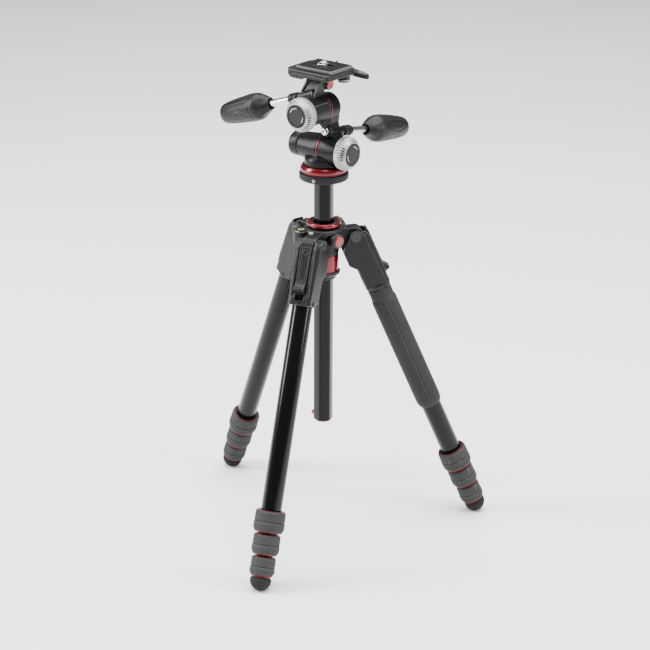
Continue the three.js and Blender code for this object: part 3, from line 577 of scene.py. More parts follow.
def selector_plate():
    plate = prism("selector", round_outline([(-2.4, -7.6), (-2.4, 7.6), (60, 6), (60, -6)], 2.4), 10, 26)
    turn(plate, Matrix.Rotation(rad(90), 4, "Y"))
    profile = side_prism("profile", [
        (13.5, 2), (15.2, 2.8), (16.6, -1), (17, -6), (17, -46), (18.2, -50), (22.4, -55.5), (22.2, -57.5),
        (16.4, -60), (13.5, -58),
    ], 12)
    combine(plate, [profile], "INTERSECT")
    border = prism("border", round_outline([(4, -5.6), (4, 5.6), (45, 4.3), (45, -4.3)], 2.2), 16.4, 18)
    inner = prism("inner", round_outline([(4.9, -4.7), (4.9, 4.7), (44.1, 3.4), (44.1, -3.4)], 1.9), 16, 19)
    cut(border, inner)
    turn(border, Matrix.Rotation(rad(90), 4, "Y"))
    badge = move(along_x(ring("badge", 3.6, 2.8, 16.6, 18)), z=-11)
    cut(plate, border, badge)
    ribs = [brick("step", (17, 22), (-5, 5), (-52.6 - k * 2, -52 - k * 2)) for k in range(2)]
    cut(plate, *[move(r, x=2.2 + k) for k, r in enumerate(ribs)])
    return soften(plate, 0.3, 2, 0.3)


def bolt():
    return along_y(lathe("bolt", [
        (0, -16.2), (1.6, -16.2), (1.6, -15.6), (2.6, -15.6), (2.6, -16.2), (5.6, -16.2), (5.6, -14.3),
        (3, -14.3), (3, 14.3), (5.6, 14.3), (5.6, 16.2), (2.6, 16.2), (2.6, 15.6), (1.6, 15.6),
        (1.6, 16.2), (0, 16.2),
    ], 48, 0.25))


def leg_tube(index):
    top, foot = TUBE_SPANS[index]
    outer = TUBE_RADII[index]
    return tube("tube", outer, outer - TUBE_WALL, -foot, -top, 96, 0.3)


def lock_sleeve(index):
    """The rubber sleeve: an upper band, a raised line, a lower band and fine ribs."""
    top, foot = LOCK_SPANS[index]
    radius = LOCK_RADII[index]
    length = foot - top
    line = top + length * 0.52
    inner = TUBE_RADII[index] + 0.3
    low = TUBE_RADII[index + 1] + 0.3
    seat = top + 13.6

    def ribbed(angle, r, z):
        if r < radius - 1.2:
            return r
        depth = -z
        upper = bell(depth - (top + length * 0.27), length * 0.21)
        lower = bell(depth - (top + length * 0.76), length * 0.19)
        band = max(upper, lower)
        return r - 0.22 * band * (0.5 - 0.5 * math.cos(36 * angle))

    profile = rounded([
        (inner, -top - 0.8), (radius - 1.9, -top - 0.8), (radius - 0.5, -top - 2.3),
        (radius - 0.25, -line + 1.2), (radius - 0.9, -line + 0.6), (radius - 0.9, -line - 0.1),
        (radius, -line - 0.7), (radius, -foot + 4.2), (radius - 1.7, -foot + 1.3), (low, -foot + 1.3),
        (low, -seat), (inner, -seat), (inner, -top - 0.8),
    ], 0.5)
    return lathe("lock", profile[:-1], 216, 0, ribbed, closed=True)


def lock_rim(index, at_top):
    top, foot = LOCK_SPANS[index]
    radius = LOCK_RADII[index] - 1.7
    inner = TUBE_RADII[index] + 0.35 if at_top else TUBE_RADII[index + 1] + 0.35
    if at_top:
        return tube("rim", radius - 0.1, radius - 1.5, -top - 0.8, -top, 72, 0.35)
    return tube("rim", radius, inner, -foot, -foot + 1.4, 72, 0.35)


def lock_bush(index):
    """The dark bush inside a lock's upper rim."""
    top = LOCK_SPANS[index][0]
    return tube("bush", LOCK_RADII[index] - 3.4, TUBE_RADII[index] + 0.35, -top - 0.8, -top - 0.2, 72, 0.25)


def rubber_foot(place):
    """A round foot with a collar line, worn flat where it stands."""
    profile = [(0, -FOOT_TOP), (FOOT_RADIUS - 2.2, -FOOT_TOP), (FOOT_RADIUS - 0.9, -FOOT_TOP - 1.2),
               (FOOT_RADIUS, -FOOT_TOP - 2.6)]
    for k in range(25):
        angle = rad(90 * k / 24)
        profile.append((FOOT_RADIUS * math.cos(angle), -FOOT_CENTRE - FOOT_RADIUS * math.sin(angle)))
    profile[-1] = (0, -FOOT_CENTRE - FOOT_RADIUS)
    foot = lathe("foot", profile, 96, 0)
    turn(foot, place)
    for vertex in foot.data.vertices:
        vertex.co.z = max(vertex.co.z, 0)
    return foot


def leg_grip():
    """The rubber sleeve of one leg: a neck, a step and a long raised panel with a rounded top."""
    step = GRIP_TOP + 16
    profile = dense(rounded([
        (12.8, -GRIP_TOP), (14.4, -GRIP_TOP), (14.6, -GRIP_TOP - 1), (14.6, -step + 4.2), (14.2, -step + 3.6),
        (14.2, -step + 3), (14.7, -step + 2.4), (14.8, -step), (16, -step - 1.6), (16, -GRIP_FOOT + 9),
        (15.6, -GRIP_FOOT + 7.5), (15.9, -GRIP_FOOT + 6), (14.2, -GRIP_FOOT + 0.8), (13.4, -GRIP_FOOT),
        (12.8, -GRIP_FOOT), (12.8, -GRIP_TOP),
    ], 0.5)[:-1], 1.2)

    def panelled(angle, r, z):
        if r < 14.9:
            return r
        depth = -z
        away = abs(angle - math.pi) / rad(97)
        lift = max(0.0, (step + 12 - depth) / 9, (depth - GRIP_FOOT + 14) / 9)
        edge = (away ** 6 + lift ** 6) ** (1 / 6)
        return r - 1.0 * bell(edge - 1.0, 0.045) - 0.35 * (1 if edge > 1 else 0)

    return lathe("grip", profile, 240, 0, panelled, closed=True)


def build_legs():
    bracket = bracket_casting()
    selector = selector_plate()
    for side in HEADINGS:
        place = leg_place(side)
        leg = side + "_leg"
        piece(copy_of(bracket, "b"), side + "_bracket_casting", leg, CASTING,
              side + "_leg_bracket", place, 60)
        piece(copy_of(selector, "s"), side + "_selector_plate", side + "_selector", CASTING,
              side + "_angle_selector", place, 60)
        piece(bolt(), side + "_hinge_bolt", leg, BOLT, side + "_pivot_bolt", place)
        bodies = [leg] + [f"{side}_section_{i}" for i in (2, 3, 4)]
        for i in range(4):
            piece(leg_tube(i), f"{side}_tube_{i + 1}_smooth", bodies[i], TUBE,
                  f"{side}_leg_tube_{i + 1}", place)
        for i in range(3):
            body = f"{side}_lock_{i + 1}"
            piece(lock_sleeve(i), f"{side}_lock_{i + 1}_sleeve", body, RUBBER,
                  f"{side}_twist_lock_{i + 1}", place)
            piece(lock_rim(i, True), f"{side}_lock_{i + 1}_rim_top", body, DARK_RED, None, place)
            piece(lock_rim(i, False), f"{side}_lock_{i + 1}_rim_foot", body, DARK_RED, None, place)
            piece(lock_bush(i), f"{side}_lock_{i + 1}_bush", body, BLACK, None, place)
        piece(rubber_foot(place), side + "_foot_ball", side + "_section_4", FOOT_RUBBER,
              side + "_foot")
        collar = tube("collar", FOOT_RADIUS - 1.6, 8, -FOOT_TOP + 0.1, -FOOT_TOP + 1.2, 72, 0.3)
        piece(collar, side + "_foot_collar", side + "_section_4", DARK_RED, None, place)
    piece(leg_grip(), "right_grip_sleeve", "right_leg", GRIP_RUBBER, "right_leg_grip",
          leg_place("right"))
    discard(bracket)
    discard(selector)


# ------------------------------------------------------------------ hub and column pieces
def hub_casting():
    hub = lathe("hub", [(0, 362), (17.6, 362), (18.5, 363), (18.5, 386), (21, 390.6), (24, 391.2), (24, 394),
                        (22, 396), (0, 396)], 96, 0.5)
    parts = []
    for degrees in HEADINGS.values():
        tongue = side_prism("tongue", [
            (14.5, 369.5), (35, 375.5), (38, 375.5), (38, 394.5), (14.5, 394.5),
        ], 8)
        parts.append(to_heading(tongue, degrees))
        parts.append(to_heading(move(along_y(post("end", 9.5, -8, 8)), x=38, z=385), degrees))
        parts.append(to_heading(side_prism("web", [(14, 363), (24, 371), (24, 376), (14, 376)], 3), degrees))
    for degrees, radius in ((SOCKET_HEADING, 9), (CLAMP_HEADING, 8)):
        boss = lathe("boss", [(0, 14), (radius, 14), (radius, 27.6), (radius - 1, 29), (0, 29)], 48, 0.4)
        parts.append(to_heading(along_x(boss), degrees, BOSS_HEIGHT))
    parts.append(to_level(post("level", 9.6, 378, 392)))
    union(hub, *parts)
    bores = [to_heading(move(along_y(post("bore", 3.3, -9, 9)), x=38, z=385), d) for d in HEADINGS.values()]
    stem = to_heading(along_x(post("stem", 3.5, 16.5, 30)), CLAMP_HEADING, BOSS_HEIGHT)
    seat = to_level(post("seat", 7.9, 385.7, 397))
    pits = [to_heading(brick("pit", (25, 31), (-5, 5), (393.2, 396)), HEADINGS[s]) for s in ("right", "left")]
    cut(hub, post("column", 12.6, 360, 398, 64), stem, seat, *bores, *pits)
    return soften(hub, 0.5, 4, 0.3)


def column_shape():
    flat, half = 10.8, 5.1
    reach, spread = math.hypot(flat, half), math.atan2(half, flat)
    points = []
    for i in range(6):
        for way in (-1, 1):
            angle = rad(FRONT_HEADING + 30 - 90 + 60 * i) + way * spread
            points.append((reach * math.cos(angle), reach * math.sin(angle)))
    return points


def build_hub():
    piece(hub_casting(), "hub_body", "hub", CASTING, "hub", None, 60)
    collar = lathe("collar", rounded([
        (12.6, 396.3), (17.6, 396.3), (18.1, 397.4), (20.2, 398.6), (20.75, 399.6), (20.75, 402.2),
        (19.6, 403.5), (16.6, 403.5), (15.9, 402.9), (15.9, 399.9), (12.6, 397.9), (12.6, 396.3),
    ], 0.45)[:-1], 120, 0, closed=True)
    piece(collar, "collar_red_ring", "hub", RED, "column_collar")
    bush = tube("bush", 15.6, 12.7, 399.9, 402.6, 96, 0.4)
    piece(bush, "collar_bushing", "hub", BLACK)
    barrel = tube("barrel", 18.2, 12.6, 341, 361.7, 120, 0.5)
    piece(barrel, "barrel_red_sleeve", "hub", RED, "column_barrel")

    def knurled(angle, r, z):
        return r - 0.35 * (0.5 - 0.5 * math.cos(48 * angle)) if r > 19.6 and z > 336.5 else r

    nut = lathe("nut", dense(rounded([
        (12.6, 331), (15.4, 331), (15.9, 334), (20, 337.2), (20.3, 338), (20.3, 340), (19.6, 340.7),
        (12.6, 340.7), (12.6, 331),
    ], 0.35)[:-1], 1.5), 288, 0, knurled, closed=True)
    piece(nut, "barrel_end_nut", "hub", CASTING, "barrel_nut")
    cap = lathe("cap", [
        (0, 29.3), (6.4, 29.3), (6.4, 30.6), (5.6, 31.3), (3.4, 31.55), (3.0, 31.2), (0, 31.2),
    ], 64, 0.2)
    piece(to_heading(along_x(cap), SOCKET_HEADING, BOSS_HEIGHT), "socket_red_cap", "hub", RED_PLASTIC,
          "socket_cap")
    lip = tube("lip", 7.6, 6.6, 29.02, 30.2, 64, 0.35)
    piece(to_heading(along_x(lip), SOCKET_HEADING, BOSS_HEIGHT), "socket_rim", "hub", BOLT)
    # Partly painted glint: a small polished silver dome set on the front lug's top, so that its light colour
    # and shine make a bright glint on that lug.
    pin = lathe("pin", [(0, 394), (2.9, 394), (2.9, 394.9), (2.0, 395.6), (0, 395.9)], 40, 0.3)
    piece(move(pin, 2.4, -27.2), "lug_glint_pin", "hub", SILVER)
    vial = lathe("vial", [
        (0, 386), (7.4, 386), (7.4, 391.8), (6.8, 392.4), (4.4, 392.8), (0, 393.1),
    ], 64, 0.4)
    piece(to_level(vial), "level_vial", "hub", LEVEL_FLUID, "bubble_level")
    piece(to_level(tube("bezel", 7.5, 4.6, 392.3, 393.6, 64, 0.3)), "level_bezel", "hub", BLACK)
    piece(to_level(tube("mark", 2.3, 1.9, 392.95, 393.2, 48, 0.05)), "level_mark", "hub", INK)

    def lobed(angle, r, z):
        return r - 0.9 * (0.5 - 0.5 * math.cos(10 * angle)) if r > 10.5 else r

    knob = lathe("knob", [(0, 17), (3.2, 17), (3.2, 30.3), (9, 30.3), (12, 33.5), (12, 43.6), (10.4, 45.3),
                          (7, 45.3), (6.6, 44.7), (0, 44.7)], 160, 0.9, lobed)
    piece(to_heading(along_x(knob), CLAMP_HEADING, BOSS_HEIGHT), "column_clamp_knob", "column_lock_knob",
          RUBBER, "column_lock_knob")


def build_column():
    shape = round_outline(column_shape(), 0.9, 3)
    column = prism("column", shape, COLUMN_FOOT, 456.2)
    cut(column, post("bore", 9.6, COLUMN_FOOT - 1, 457, 64))
    piece(column, "column_hex_tube", "column", COLUMN, "column_tube", None, 20)
    cap = lathe("cap", [(0, 138.7), (6.5, 138.7), (10.0, 140.2), (10.6, 141.9), (9.3, 142.05), (9.3, 152),
                        (0, 152)], 72, 0.3)
    piece(cap, "column_red_cap", "column", RED_PLASTIC, "column_end_cap")
    button = lathe("button", [(0, 6.5), (3, 6.5), (3, 13.6), (2.7, 14.6), (1.6, 15.15), (0, 15.2)], 48, 0.3)
    piece(to_heading(along_x(button), BUTTON_HEADING, 148), "column_red_button", "release_button",
          RED_PLASTIC, "column_release_button")

    disc = lathe("disc", [(0, 441.5), (9.3, 441.5), (9.3, 456.5), (27.6, 456.5), (29.5, 457.7), (29.8, 458.6),
                          (29.8, 463.6), (29.4, 465.1), (28.2, 465.5), (4.7, 465.5), (4.7, 473.7),
                          (0, 473.7)], 144, 0.4)
    piece(disc, "top_plate_disc", "column", DISC, "top_disc")
    for k in range(3):
        screw = lathe("screw", [(0, 0), (1.9, 0), (1.9, 1.3), (1.0, 1.3), (1.0, 0.7), (0, 0.7)], 32, 0.15)
        angle = rad(-76 + 120 * k)
        way = Vector((math.cos(angle), math.sin(angle), 0))
        turn(screw, aim(way, (28.7 * way.x, 28.7 * way.y, 460.8)))
        piece(screw, f"disc_screw_{k + 1}", "column", SILVER)
    red = lathe("red", rounded([
        (5.1, 465.8), (27.2, 465.8), (27.2, 466.8), (28.3, 467.6), (28.3, 471.2), (26.3, 474.4),
        (24.4, 474.7), (5.1, 474.7), (5.1, 465.8),
    ], 0.35)[:-1], 144, 0, closed=True)
    piece(red, "pan_red_ring", "column", RED, "pan_ring")


# ------------------------------------------------------------------ head pieces
def head_casting():
    neck = lathe("neck", [
        (0, 475), (23.1, 475), (23.5, 475.6), (23.5, 482.6), (22.2, 485), (17.2, 489.6, 2), (16.5, 491),
        (0, 491),
    ], 120, 0.8)
    cut(neck, move(along_x(post("sweep", 18.9, 3.4, 44, 64)), z=TILT_HEIGHT))
    barrel = along_x(lathe("barrel", [
        (0, -30.2), (15.0, -30.2), (15.4, -29.6), (18.2, -4.6), (18.5, -1), (18.5, 1.7), (0, 1.7),
    ], 96, 0.4))
    union(neck, move(barrel, z=TILT_HEIGHT))
    cut(neck, move(along_x(post("axle", 6.4, -20, 5)), z=TILT_HEIGHT),
        to_heading(along_x(post("knob", 3.9, 14.5, 26)), PAN_KNOB_HEADING, PAN_KNOB_HEIGHT))
    return soften(neck, 0.45, 5, 0.35)


def link_casting():
    lower = along_x(lathe("lower", [
        (0, 3.7), (18.1, 3.7), (18.5, 4.2), (18.5, 27.4), (17.7, 28.2), (0, 28.2),
    ], 96, 0.3))
    move(lower, z=TILT_HEIGHT)
    axle = move(along_x(post("axle", 6, -18.6, 5)), z=TILT_HEIGHT)
    upper = move(along_y(lathe("upper", [(0, -5.0), (17, -5.0), (17, 10.2), (16, 11.5), (0, 11.5)], 96, 0.5)),
                 z=SIDE_HEIGHT)
    web = side_prism("web", [
        (5, 493.5), (26, 493.5), (26, 503), (20, 510), (15, 518), (13.6, 527), (15, 537), (14, 548),
        (-10, 544), (-8.4, 533), (-3.4, 524), (3.9, 516),
    ], 8.2)
    move(web, y=3.2)
    boss = turn(lathe("boss", [(0, 5.5), (5.6, 5.5), (5.6, 29.2), (5, 30), (0, 30)], 48, 0.3),
        aim(TILT_WAY, TILT_ROOT))
    union(lower, axle, upper, web, boss)
    dish = move(along_y(ring("dish", 13.4, 12.4, 10.7, 12.5)), z=SIDE_HEIGHT)
    cut(lower, turn(post("rod", 4.5, 0, 60), aim(TILT_WAY, TILT_ROOT)),
        move(along_y(post("hole", 6.4, -8, 9.4)), z=SIDE_HEIGHT),
        move(along_x(post("stem", 3.9, 16.2, 30)), z=TILT_HEIGHT), dish)
    return soften(lower, 0.45, 5, 0.35)


def holder_neck():
    """The leaning neck under the tray, as a loft through four levels."""
    levels = [(553, -19, 4, -24, -7.0), (562, -19, 4, -24, -7.0), (573, -16.3, 6.7, -18, -0.9),
        (584.5, -13.5, 9.5, -12, 5.1)]
    verts = []
    for z, x0, x1, y0, y1 in levels:
        verts += [(x0, y0, z), (x1, y0, z), (x1, y1, z), (x0, y1, z)]
    faces = [(3, 2, 1, 0), (12, 13, 14, 15)]
    for k in range(3):
        for j in range(4):
            n = (j + 1) % 4
            faces.append((4 * k + j, 4 * k + n, 4 * k + 4 + n, 4 * k + 4 + j))
    neck = new_object("neck", verts, faces)
    outward(neck)
    return neck


def holder_casting():
    barrel = along_y(lathe("barrel", [
        (0, -37.2), (16.6, -37.2), (17, -36.6), (17, -8.7), (0, -8.7),
    ], 96, 0.3))
    move(barrel, z=SIDE_HEIGHT)
    stub = move(along_y(post("stub", 6, -10, 7.4)), z=SIDE_HEIGHT)
    neck = holder_neck()
    window = new_object("window", [
        (-15.6, -30, 565.5), (1.4, -30, 565.5), (6.2, -20, 582), (-9.2, -20, 582),
        (-15.6, -20.2, 565.5), (1.4, -20.2, 565.5), (6.2, -11.2, 582), (-9.2, -11.2, 582),
    ], [(0, 1, 2, 3), (7, 6, 5, 4), (0, 4, 5, 1), (1, 5, 6, 2), (2, 6, 7, 3), (3, 7, 4, 0)])
    outward(window)
    cut(neck, window)
    outline = [(-33, -27), (24, -27), (26, -25), (26, 25), (24, 27), (-33, 27), (-39, 20), (-39, -20)]
    tray = prism("tray", round_outline(outline, 3), 583, 591)
    bevel(tray, 1.1, 3, 50)
    bump_profile = [(0, 574.7), (6.3, 574.7), (7.5, 575.9), (7.5, 584), (0, 584)]
    bump = move(lathe("bump", bump_profile, 64, 0.4), 17.5, 15)
    jaw = side_prism("jaw", [(-39, 584), (-36.4, 579.3), (-33, 578.6), (-18, 578.6), (-13, 584)], 20)
    axle = move(along_x(post("axle", 6.4, 0, 9.5)), y=-1, z=573.2)
    ear = union(post("ear", 5, 587.3, 591), brick("root", (-5, 5), (-7.5, 0), (587.3, 591)))
    move(ear, *LEVER_PIVOT)
    pin = move(post("pin", 1.8, 581, 588), *LEVER_PIVOT)
    boss = turn(lathe("boss", [(0, 9), (5.6, 9), (5.6, 30.2), (5, 31), (0, 31)], 48, 0.3),
        aim(SIDE_WAY, SIDE_ROOT))
    union(barrel, stub, neck, tray, jaw, bump, axle, ear, pin, boss)
    groove = brick("groove", (-30, 22), (-28, -26.2), (586.3, 587.4))
    cut(barrel,
        turn(post("rod", 4.5, 8.7, 60), aim(SIDE_WAY, SIDE_ROOT)),
        move(along_y(post("stem", 3.9, -38, -25.2)), z=SIDE_HEIGHT),
        brick("pocket", (-23.55, 23.55), (-18.55, 18.55), (585.7, 592)),
        groove)
    return soften(barrel, 0.45, 4, 0.4)


def knob_shell():
    """A friction knob along z: a ribbed band, a taper and a dished front."""

    def ribbed(angle, r, z):
        if r < 15.5 or z > 12:
            return r
        fade = 1 if z < 9 else max(0, (12 - z) / 3)
        edge = min(1, max(0, (z - 0.4) / 0.8))
        return r - 0.85 * fade * edge * (0.5 - 0.5 * math.cos(36 * angle)) ** 1.5

    profile = dense(rounded([
        (0, -11), (3.6, -11), (3.6, 1.2), (17.2, 1.2), (17.6, 0.8), (20.0, 0.8), (20.4, 1.8), (20.4, 7.6),
        (19.6, 9.2), (15.6, 14.4), (14.9, 15), (14.0, 15), (13.8, 14), (0, 14),
    ], 0.4), 1.3)
    return lathe("knob", profile, 280, 0, ribbed)


def knob_set(name, body, node, place, painted_highlight_arcs, ticks):
    piece(knob_shell(), name + "_shell", body, KNOB_SILVER, node, place, 40)
    face = lathe("face", [(0, 14.05), (11.0, 14.05), (11.0, 14.5), (10.4, 14.85), (0, 14.9)], 96, 0.25)
    piece(face, name + "_face", body, GREY_FACE, None, place)
    border = tube("border", 13.7, 11.1, 14.02, 14.75, 96, 0.25)
    piece(border, name + "_border", body, BLACK, None, place)
    flange = tube("flange", 17.4, 3.7, 0.02, 1.15, 96, 0.3)
    piece(flange, name + "_flange", body, BLACK, None, place)
    # Painted highlight: thin raised silver arcs laid on the dark knob face stand in for the face's
    # reflection.
    for k, (start, end) in enumerate(painted_highlight_arcs):
        line = painted_highlight_arc("painted_highlight_arc", 9.6, 0.85, 0.14, 14.82, start, end)
        piece(line, f"{name}_arc_{k + 1}", body, SILVER, None, place)
    lean = Matrix.Translation((17.6, 0, 11.85)) @ Matrix.Rotation(rad(52.4), 4, "Y")
    for k, angle in enumerate(ticks):
        tick = brick("tick", (-1.7, 1.7), (-0.55, 0.55), (-0.08, 0.25))
        around = Matrix.Rotation(rad(angle), 4, "Z")
        piece(tick, f"{name}_tick_{k + 1}", body, INK, None, place @ around @ lean)


def handle_rod(nut):
    """A steel rod along z, with a nut behind it or a blind end."""
    if nut:
        back = [(0, -3.4), (2.2, -4.0), (4.3, -3.4), (4.9, -2.4), (4.9, -0.9), (4.2, -0.8)]
    else:
        back = [(0, 9), (4.2, 9)]
    return lathe("rod", back + [(4.2, 140), (0, 140)], 64, 0.3)


def handle_collar():
    return lathe("collar", rounded([
        (4.25, 32.2), (5.6, 32.2), (6.4, 33.4), (6.6, 37.2), (5.5, 37.9), (5.5, 39.6), (6.6, 40.2),
        (6.6, 44.6), (5.9, 46.3), (4.25, 46.5), (4.25, 32.2),
    ], 0.4)[:-1], 72, 0, closed=True)


def handle_grip():
    """The rubber grip: a smooth cone with scoops at its mouth, a seam, and leaf-shaped lines behind it."""
    mouth, end = 77.5, 155.5
    profile = dense(rounded([
        (4.6, mouth + 2), (6.2, mouth), (7.4, mouth + 0.3), (12.2, mouth + 9), (15.8, mouth + 17),
        (17.2, mouth + 24, 3), (16.6, mouth + 36, 3), (15, mouth + 58, 6), (13.3, mouth + 70, 4),
        (11.6, mouth + 76.4, 3),
        (7.6, end - 0.4, 2), (0, end),
    ], 1.2, 4), 1.0)

    def shaped(angle, r, z):
        run = z - mouth
        if r < 7 and run < 3:
            return r
        scoop = 1.5 * bell(run - 9, 10) * (0.5 - 0.5 * math.cos(3 * angle)) ** 2
        seam = 0.8 * bell(run - 24.6, 1.3)
        leaf = 0.0
        if 28 < run < 72:
            t = (run - 28) / 44
            for k in range(4):
                centre = rad(45 + 90 * k) + 0.35 * math.sin(3.1 * t)
                away = abs((angle - centre + math.pi) % (2 * math.pi) - math.pi)
                width = 0.52 * math.sin(math.pi * t) ** 0.7
                leaf = max(leaf, bell(away - width, 0.09), 0.7 * bell(away, 0.06) if 0.15 < t < 0.8 else 0)
        return r - scoop - seam - 0.6 * leaf

    return lathe("grip", profile, 200, 0, shaped)


def build_head():
    piece(head_casting(), "head_lower_casting", "pan_head", HEAD_CAST, "head_body", None, 60)
    cap = along_x(lathe("cap", [
        (0, -45), (10.4, -45), (13.4, -44.3), (15.1, -42), (15.4, -39.5), (15.4, -31.4), (14.8, -30.5),
        (0, -30.5),
    ], 96, 1.0))
    piece(move(cap, z=TILT_HEIGHT), "head_round_cap", "pan_head", HEAD_CAST, "head_end_cap")
    split = move(along_x(tube("split", 18.75, 6.6, 1.75, 3.35, 120, 0.3)), z=TILT_HEIGHT)
    piece(split, "tilt_red_ring", "pan_head", RED)

    def fluted(angle, r, z):
        return r - 0.5 * (0.5 - 0.5 * math.cos(12 * angle)) if r > 5.6 else r

    knob = lathe("panknob", [
        (0, 15), (3.6, 15), (3.6, 24.9), (4.9, 24.9), (6.2, 27.5), (6.8, 31), (6.8, 38), (5.6, 40.6),
        (0, 40.8),
    ], 120, 0.7, fluted)
    piece(to_heading(along_x(knob), PAN_KNOB_HEADING, PAN_KNOB_HEIGHT), "pan_clamp_knob", "pan_lock_knob",
          RUBBER, "pan_lock_knob")
    piece(link_casting(), "link_arm_casting", "link", HEAD_CAST, "link_arm", None, 60)
    side_split = move(along_y(tube("split", 17.3, 6.6, -6.85, -5.05, 120, 0.3)), z=SIDE_HEIGHT)
    piece(side_split, "side_red_ring", "link", RED)
    spacer = move(along_y(tube("spacer", 16.6, 6.2, -8.65, -6.95, 96, 0.2)), z=SIDE_HEIGHT)
    piece(spacer, "side_spacer", "holder", HEAD_CAST)
    tilt_place = aim((1, 0, 0), (28.5, 0, TILT_HEIGHT))
    side_place = aim((0, -1, 0), (0, -37.5, SIDE_HEIGHT))
    # The first list of angle pairs places the painted highlight arcs on each knob face.
    knob_set("tilt_knob", "tilt_knob", "tilt_friction_knob", tilt_place, [(118, 172), (262, 318)],
             [234 + 9 * k for k in range(6)])
    knob_set("side_knob", "side_knob", "side_friction_knob", side_place, [(88, 158), (-38, 4)],
             [-42 + 9 * k for k in range(6)])
    for axis, way, root, nut in (("tilt", TILT_WAY, TILT_ROOT, True), ("side", SIDE_WAY, SIDE_ROOT, False)):
        place, handle = aim(way, root), axis + "_handle"
        piece(handle_rod(nut), handle + "_steel_rod", handle, STEEL, handle + "_rod", place)
        piece(handle_collar(), handle + "_collar", handle, BLACK, None, place)
        piece(handle_grip(), handle + "_rubber_grip", axis + "_grip", HANDLE_RUBBER,
              handle + "_grip", place, 50)
    seat = tube("seat", 6.0, 4.25, 1.0, 5.3, 64, 0.6)
    piece(seat, "tilt_handle_seat_ring", "tilt_handle", BLACK, None, aim(TILT_WAY, TILT_ROOT))
    piece(holder_casting(), "plate_holder_casting", "holder", CASTING, "plate_holder", None, 60)
    badge = lathe("badge", [
        (0, 0), (5.9, 0), (5.9, 0.7), (5.3, 1.2), (3.4, 1.35), (3.1, 1.1), (0, 1.1),
    ], 64, 0.2)
    piece(badge, "neck_red_cap", "holder", RED_PLASTIC, None, aim((1, 0, 0), (9.52, -1, 573.2)))
    rim = move(tube("rim", 7.7, 7.3, 577.2, 578.1, 72, 0.15), 17.5, 15)
    piece(rim, "bump_rim", "holder", SILVER)
    build_plate()


def build_plate():
    half_x, half_y = 26.25, 21.25
    body = brick("body", (3 - half_x, half_x - 3), (3 - half_y, half_y - 3), (586, 592))
    top = prism("top", rounded_box(half_x, half_y, 3), 591.3, 594.7)
    bevel(top, 0.7, 3, 50)
    union(body, top)
    cut(body, post("screw", 3.5, 585, 596, 48), post("seat", 8.8, 585, 590.3, 48),
        brick("coin", (-12, 12), (-4.4, 4.4), (593.4, 596)))
    piece(body, "plate_metal", "plate", PLATE, "quick_plate", None, 30)
    pad_x, pad_y, groove, deep = 23.6, 18.6, 0.6, (595.15, 597)
    pad = prism("pad", rounded_box(pad_x, pad_y, 2.2), 594.4, 595.6)
    grooves = []
    for inset in (1.8, 3.4):
        a, b = pad_x - inset, pad_y - inset
        loop = prism("loop", rounded_box(a, b, 1.6), *deep)
        grooves.append(cut(loop, prism("hole", rounded_box(a - groove, b - groove, 1.3), 594, 598)))
    for k in range(3):
        for way in (-1, 1):
            middle = way * (16.2 - k * 1.6)
            grooves.append(brick("line", (middle - groove / 2, middle + groove / 2), (-13.4, 13.4), deep))
    for k in range(2):
        for way in (-1, 1):
            middle = way * (13.6 - k * 1.6)
            grooves.append(brick("line", (-9, 9), (middle - groove / 2, middle + groove / 2), deep))
    slot = prism("slot", rounded_box(12.4, 4.8, 4.5), 594, 598)
    cut(pad, *grooves, slot)
    piece(pad, "plate_rubber_pad", "plate", PAD, None, None, 30)

    def threaded(angle, r, z):
        if z < 595.5 or r < 2:
            return r
        return r - 0.28 * (0.5 - 0.5 * math.cos(2 * math.pi * z / 1.27 - angle))

    screw = lathe("screw", dense([
        (0, 586.2), (8.3, 586.2), (8.5, 586.4), (8.5, 589.8), (8.3, 590), (3.1, 590), (3.1, 599.2),
        (2.3, 600), (0, 600),
    ], 0.25), 64, 0, threaded)
    piece(screw, "camera_thread", "screw", SILVER, "camera_screw", None, 60)
    piece(wire_ring(), "screw_d_ring", "screw", STEEL)
    outline = round_outline([
        (-17, 30.5), (-9, 28.3), (24, 28.9), (36, 33.6), (38, 37), (36, 40.2), (22, 40.4), (-12, 37.7),
        (-17, 35.9),
    ], 4, 6)
    lever = prism("lever", outline, 581, 587)
    bevel(lever, 1.6, 4, 50)
    cut(lever, move(post("pin", 2.1, 580, 588), *LEVER_PIVOT))
    droop(lever)
    piece(lever, "release_lever_body", "lever", BLACK, "release_lever", None, 40)
    outline = round_outline([(24.5, 30.6), (34.6, 34.2), (36.4, 37), (34.6, 39), (24.5, 39)], 1.6)
    tail = prism("tail", outline, 586.9, 587.5)
    bevel(tail, 0.25, 2, 50)
    droop(tail)
    piece(tail, "release_lever_pad", "lever", PLATE, None, None, 40)
    cap = lathe("cap", [
        (0, 591.02), (3.2, 591.02), (3.2, 591.6), (2.6, 592), (1.2, 592), (1.2, 591.6), (0, 591.6),
    ], 48, 0.15)
    piece(move(cap, *LEVER_PIVOT), "lever_pin_cap", "holder", SILVER)


def droop(obj):
    """Lets the outer part of the lever slope down to its tip."""
    for vertex in obj.data.vertices:
        vertex.co.z -= 5 * max(0, vertex.co.x - 8) / 30


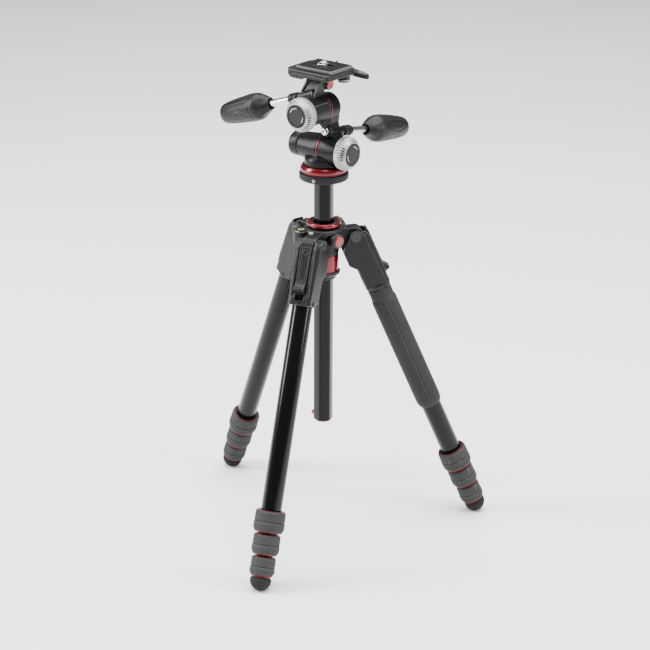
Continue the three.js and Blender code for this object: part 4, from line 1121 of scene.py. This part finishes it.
def wire_ring():
    """The folding ring of the camera screw, lying flat on the pad."""
    radius, wire = 7.2, 0.75
    path = [(-3.2, -radius, 0)]
    for a in range(0, 181, 12):
        path.append((-radius * math.sin(rad(a)) * 0.62 - 3.2, -radius * math.cos(rad(a)), 0))
    path += [(-3.2, radius, 0), (3.4, radius * 0.55, 0), (3.4, -radius * 0.55, 0)]
    verts, faces = [], []
    count, sides = len(path), 10
    for i, point in enumerate(path):
        here = Vector(point)
        along = (Vector(path[(i + 1) % count]) - Vector(path[i - 1])).normalized()
        side = along.cross(Vector((0, 0, 1)))
        for k in range(sides):
            a = 2 * math.pi * k / sides
            verts.append(here + side * math.cos(a) * wire + Vector((0, 0, 1)) * math.sin(a) * wire)
    for i in range(count):
        for k in range(sides):
            a, b = i * sides + k, i * sides + (k + 1) % sides
            c, d = ((i + 1) % count) * sides + (k + 1) % sides, ((i + 1) % count) * sides + k
            faces.append((a, b, c, d))
    obj = new_object("ring", verts, faces)
    outward(obj)
    return move(obj, z=596.35)


build_legs()
build_hub()
build_column()
build_head()


# ------------------------------------------------------------------ floor and light
def build_floor():
    floor = new_object("floor", [(-6, -6, 0), (6, -6, 0), (6, 6, 0), (-6, 6, 0)], [(0, 1, 2, 3)])
    mat, nodes, links, bsdf = shader("pale_floor", (0.9, 0.9, 0.9), 0.55)
    vector = place_coords(nodes, links)
    broad = noise(nodes, links, vector, 1.5, 2)
    links.new(ramp(nodes, links, broad, [(0.3, (0.9, 0.9, 0.9)), (0.7, (0.92, 0.92, 0.92))]),
        bsdf.inputs["Base Color"])
    floor.data.materials.append(mat)


def area_light(name, at, aim_at, size, power, size_y=None):
    data = bpy.data.lights.new(name, "AREA")
    data.energy = power
    data.size = size
    if size_y:
        data.shape = "RECTANGLE"
        data.size_y = size_y
    light = bpy.data.objects.new(name, data)
    bpy.context.scene.collection.objects.link(light)
    way = Vector(aim_at) - Vector(at)
    light.matrix_world = Matrix.Translation(at) @ way.to_track_quat("-Z", "Y").to_matrix().to_4x4()
    return light


build_floor()
world = bpy.data.worlds.new("studio")
world.use_nodes = True
world.node_tree.nodes["Background"].inputs["Color"].default_value = (1, 1, 1, 1)
world.node_tree.nodes["Background"].inputs["Strength"].default_value = 0.28
bpy.context.scene.world = world
area_light("key", (-1.5, -1.3, 1.3), (0, 0, 0.35), 0.55, 90, 1.7)
area_light("rim", (1.9, 0.7, 1.1), (0, 0, 0.35), 0.4, 45, 1.5)
area_light("top", (0.0, 0.2, 3.0), (0, 0.2, 0.0), 3.2, 320)
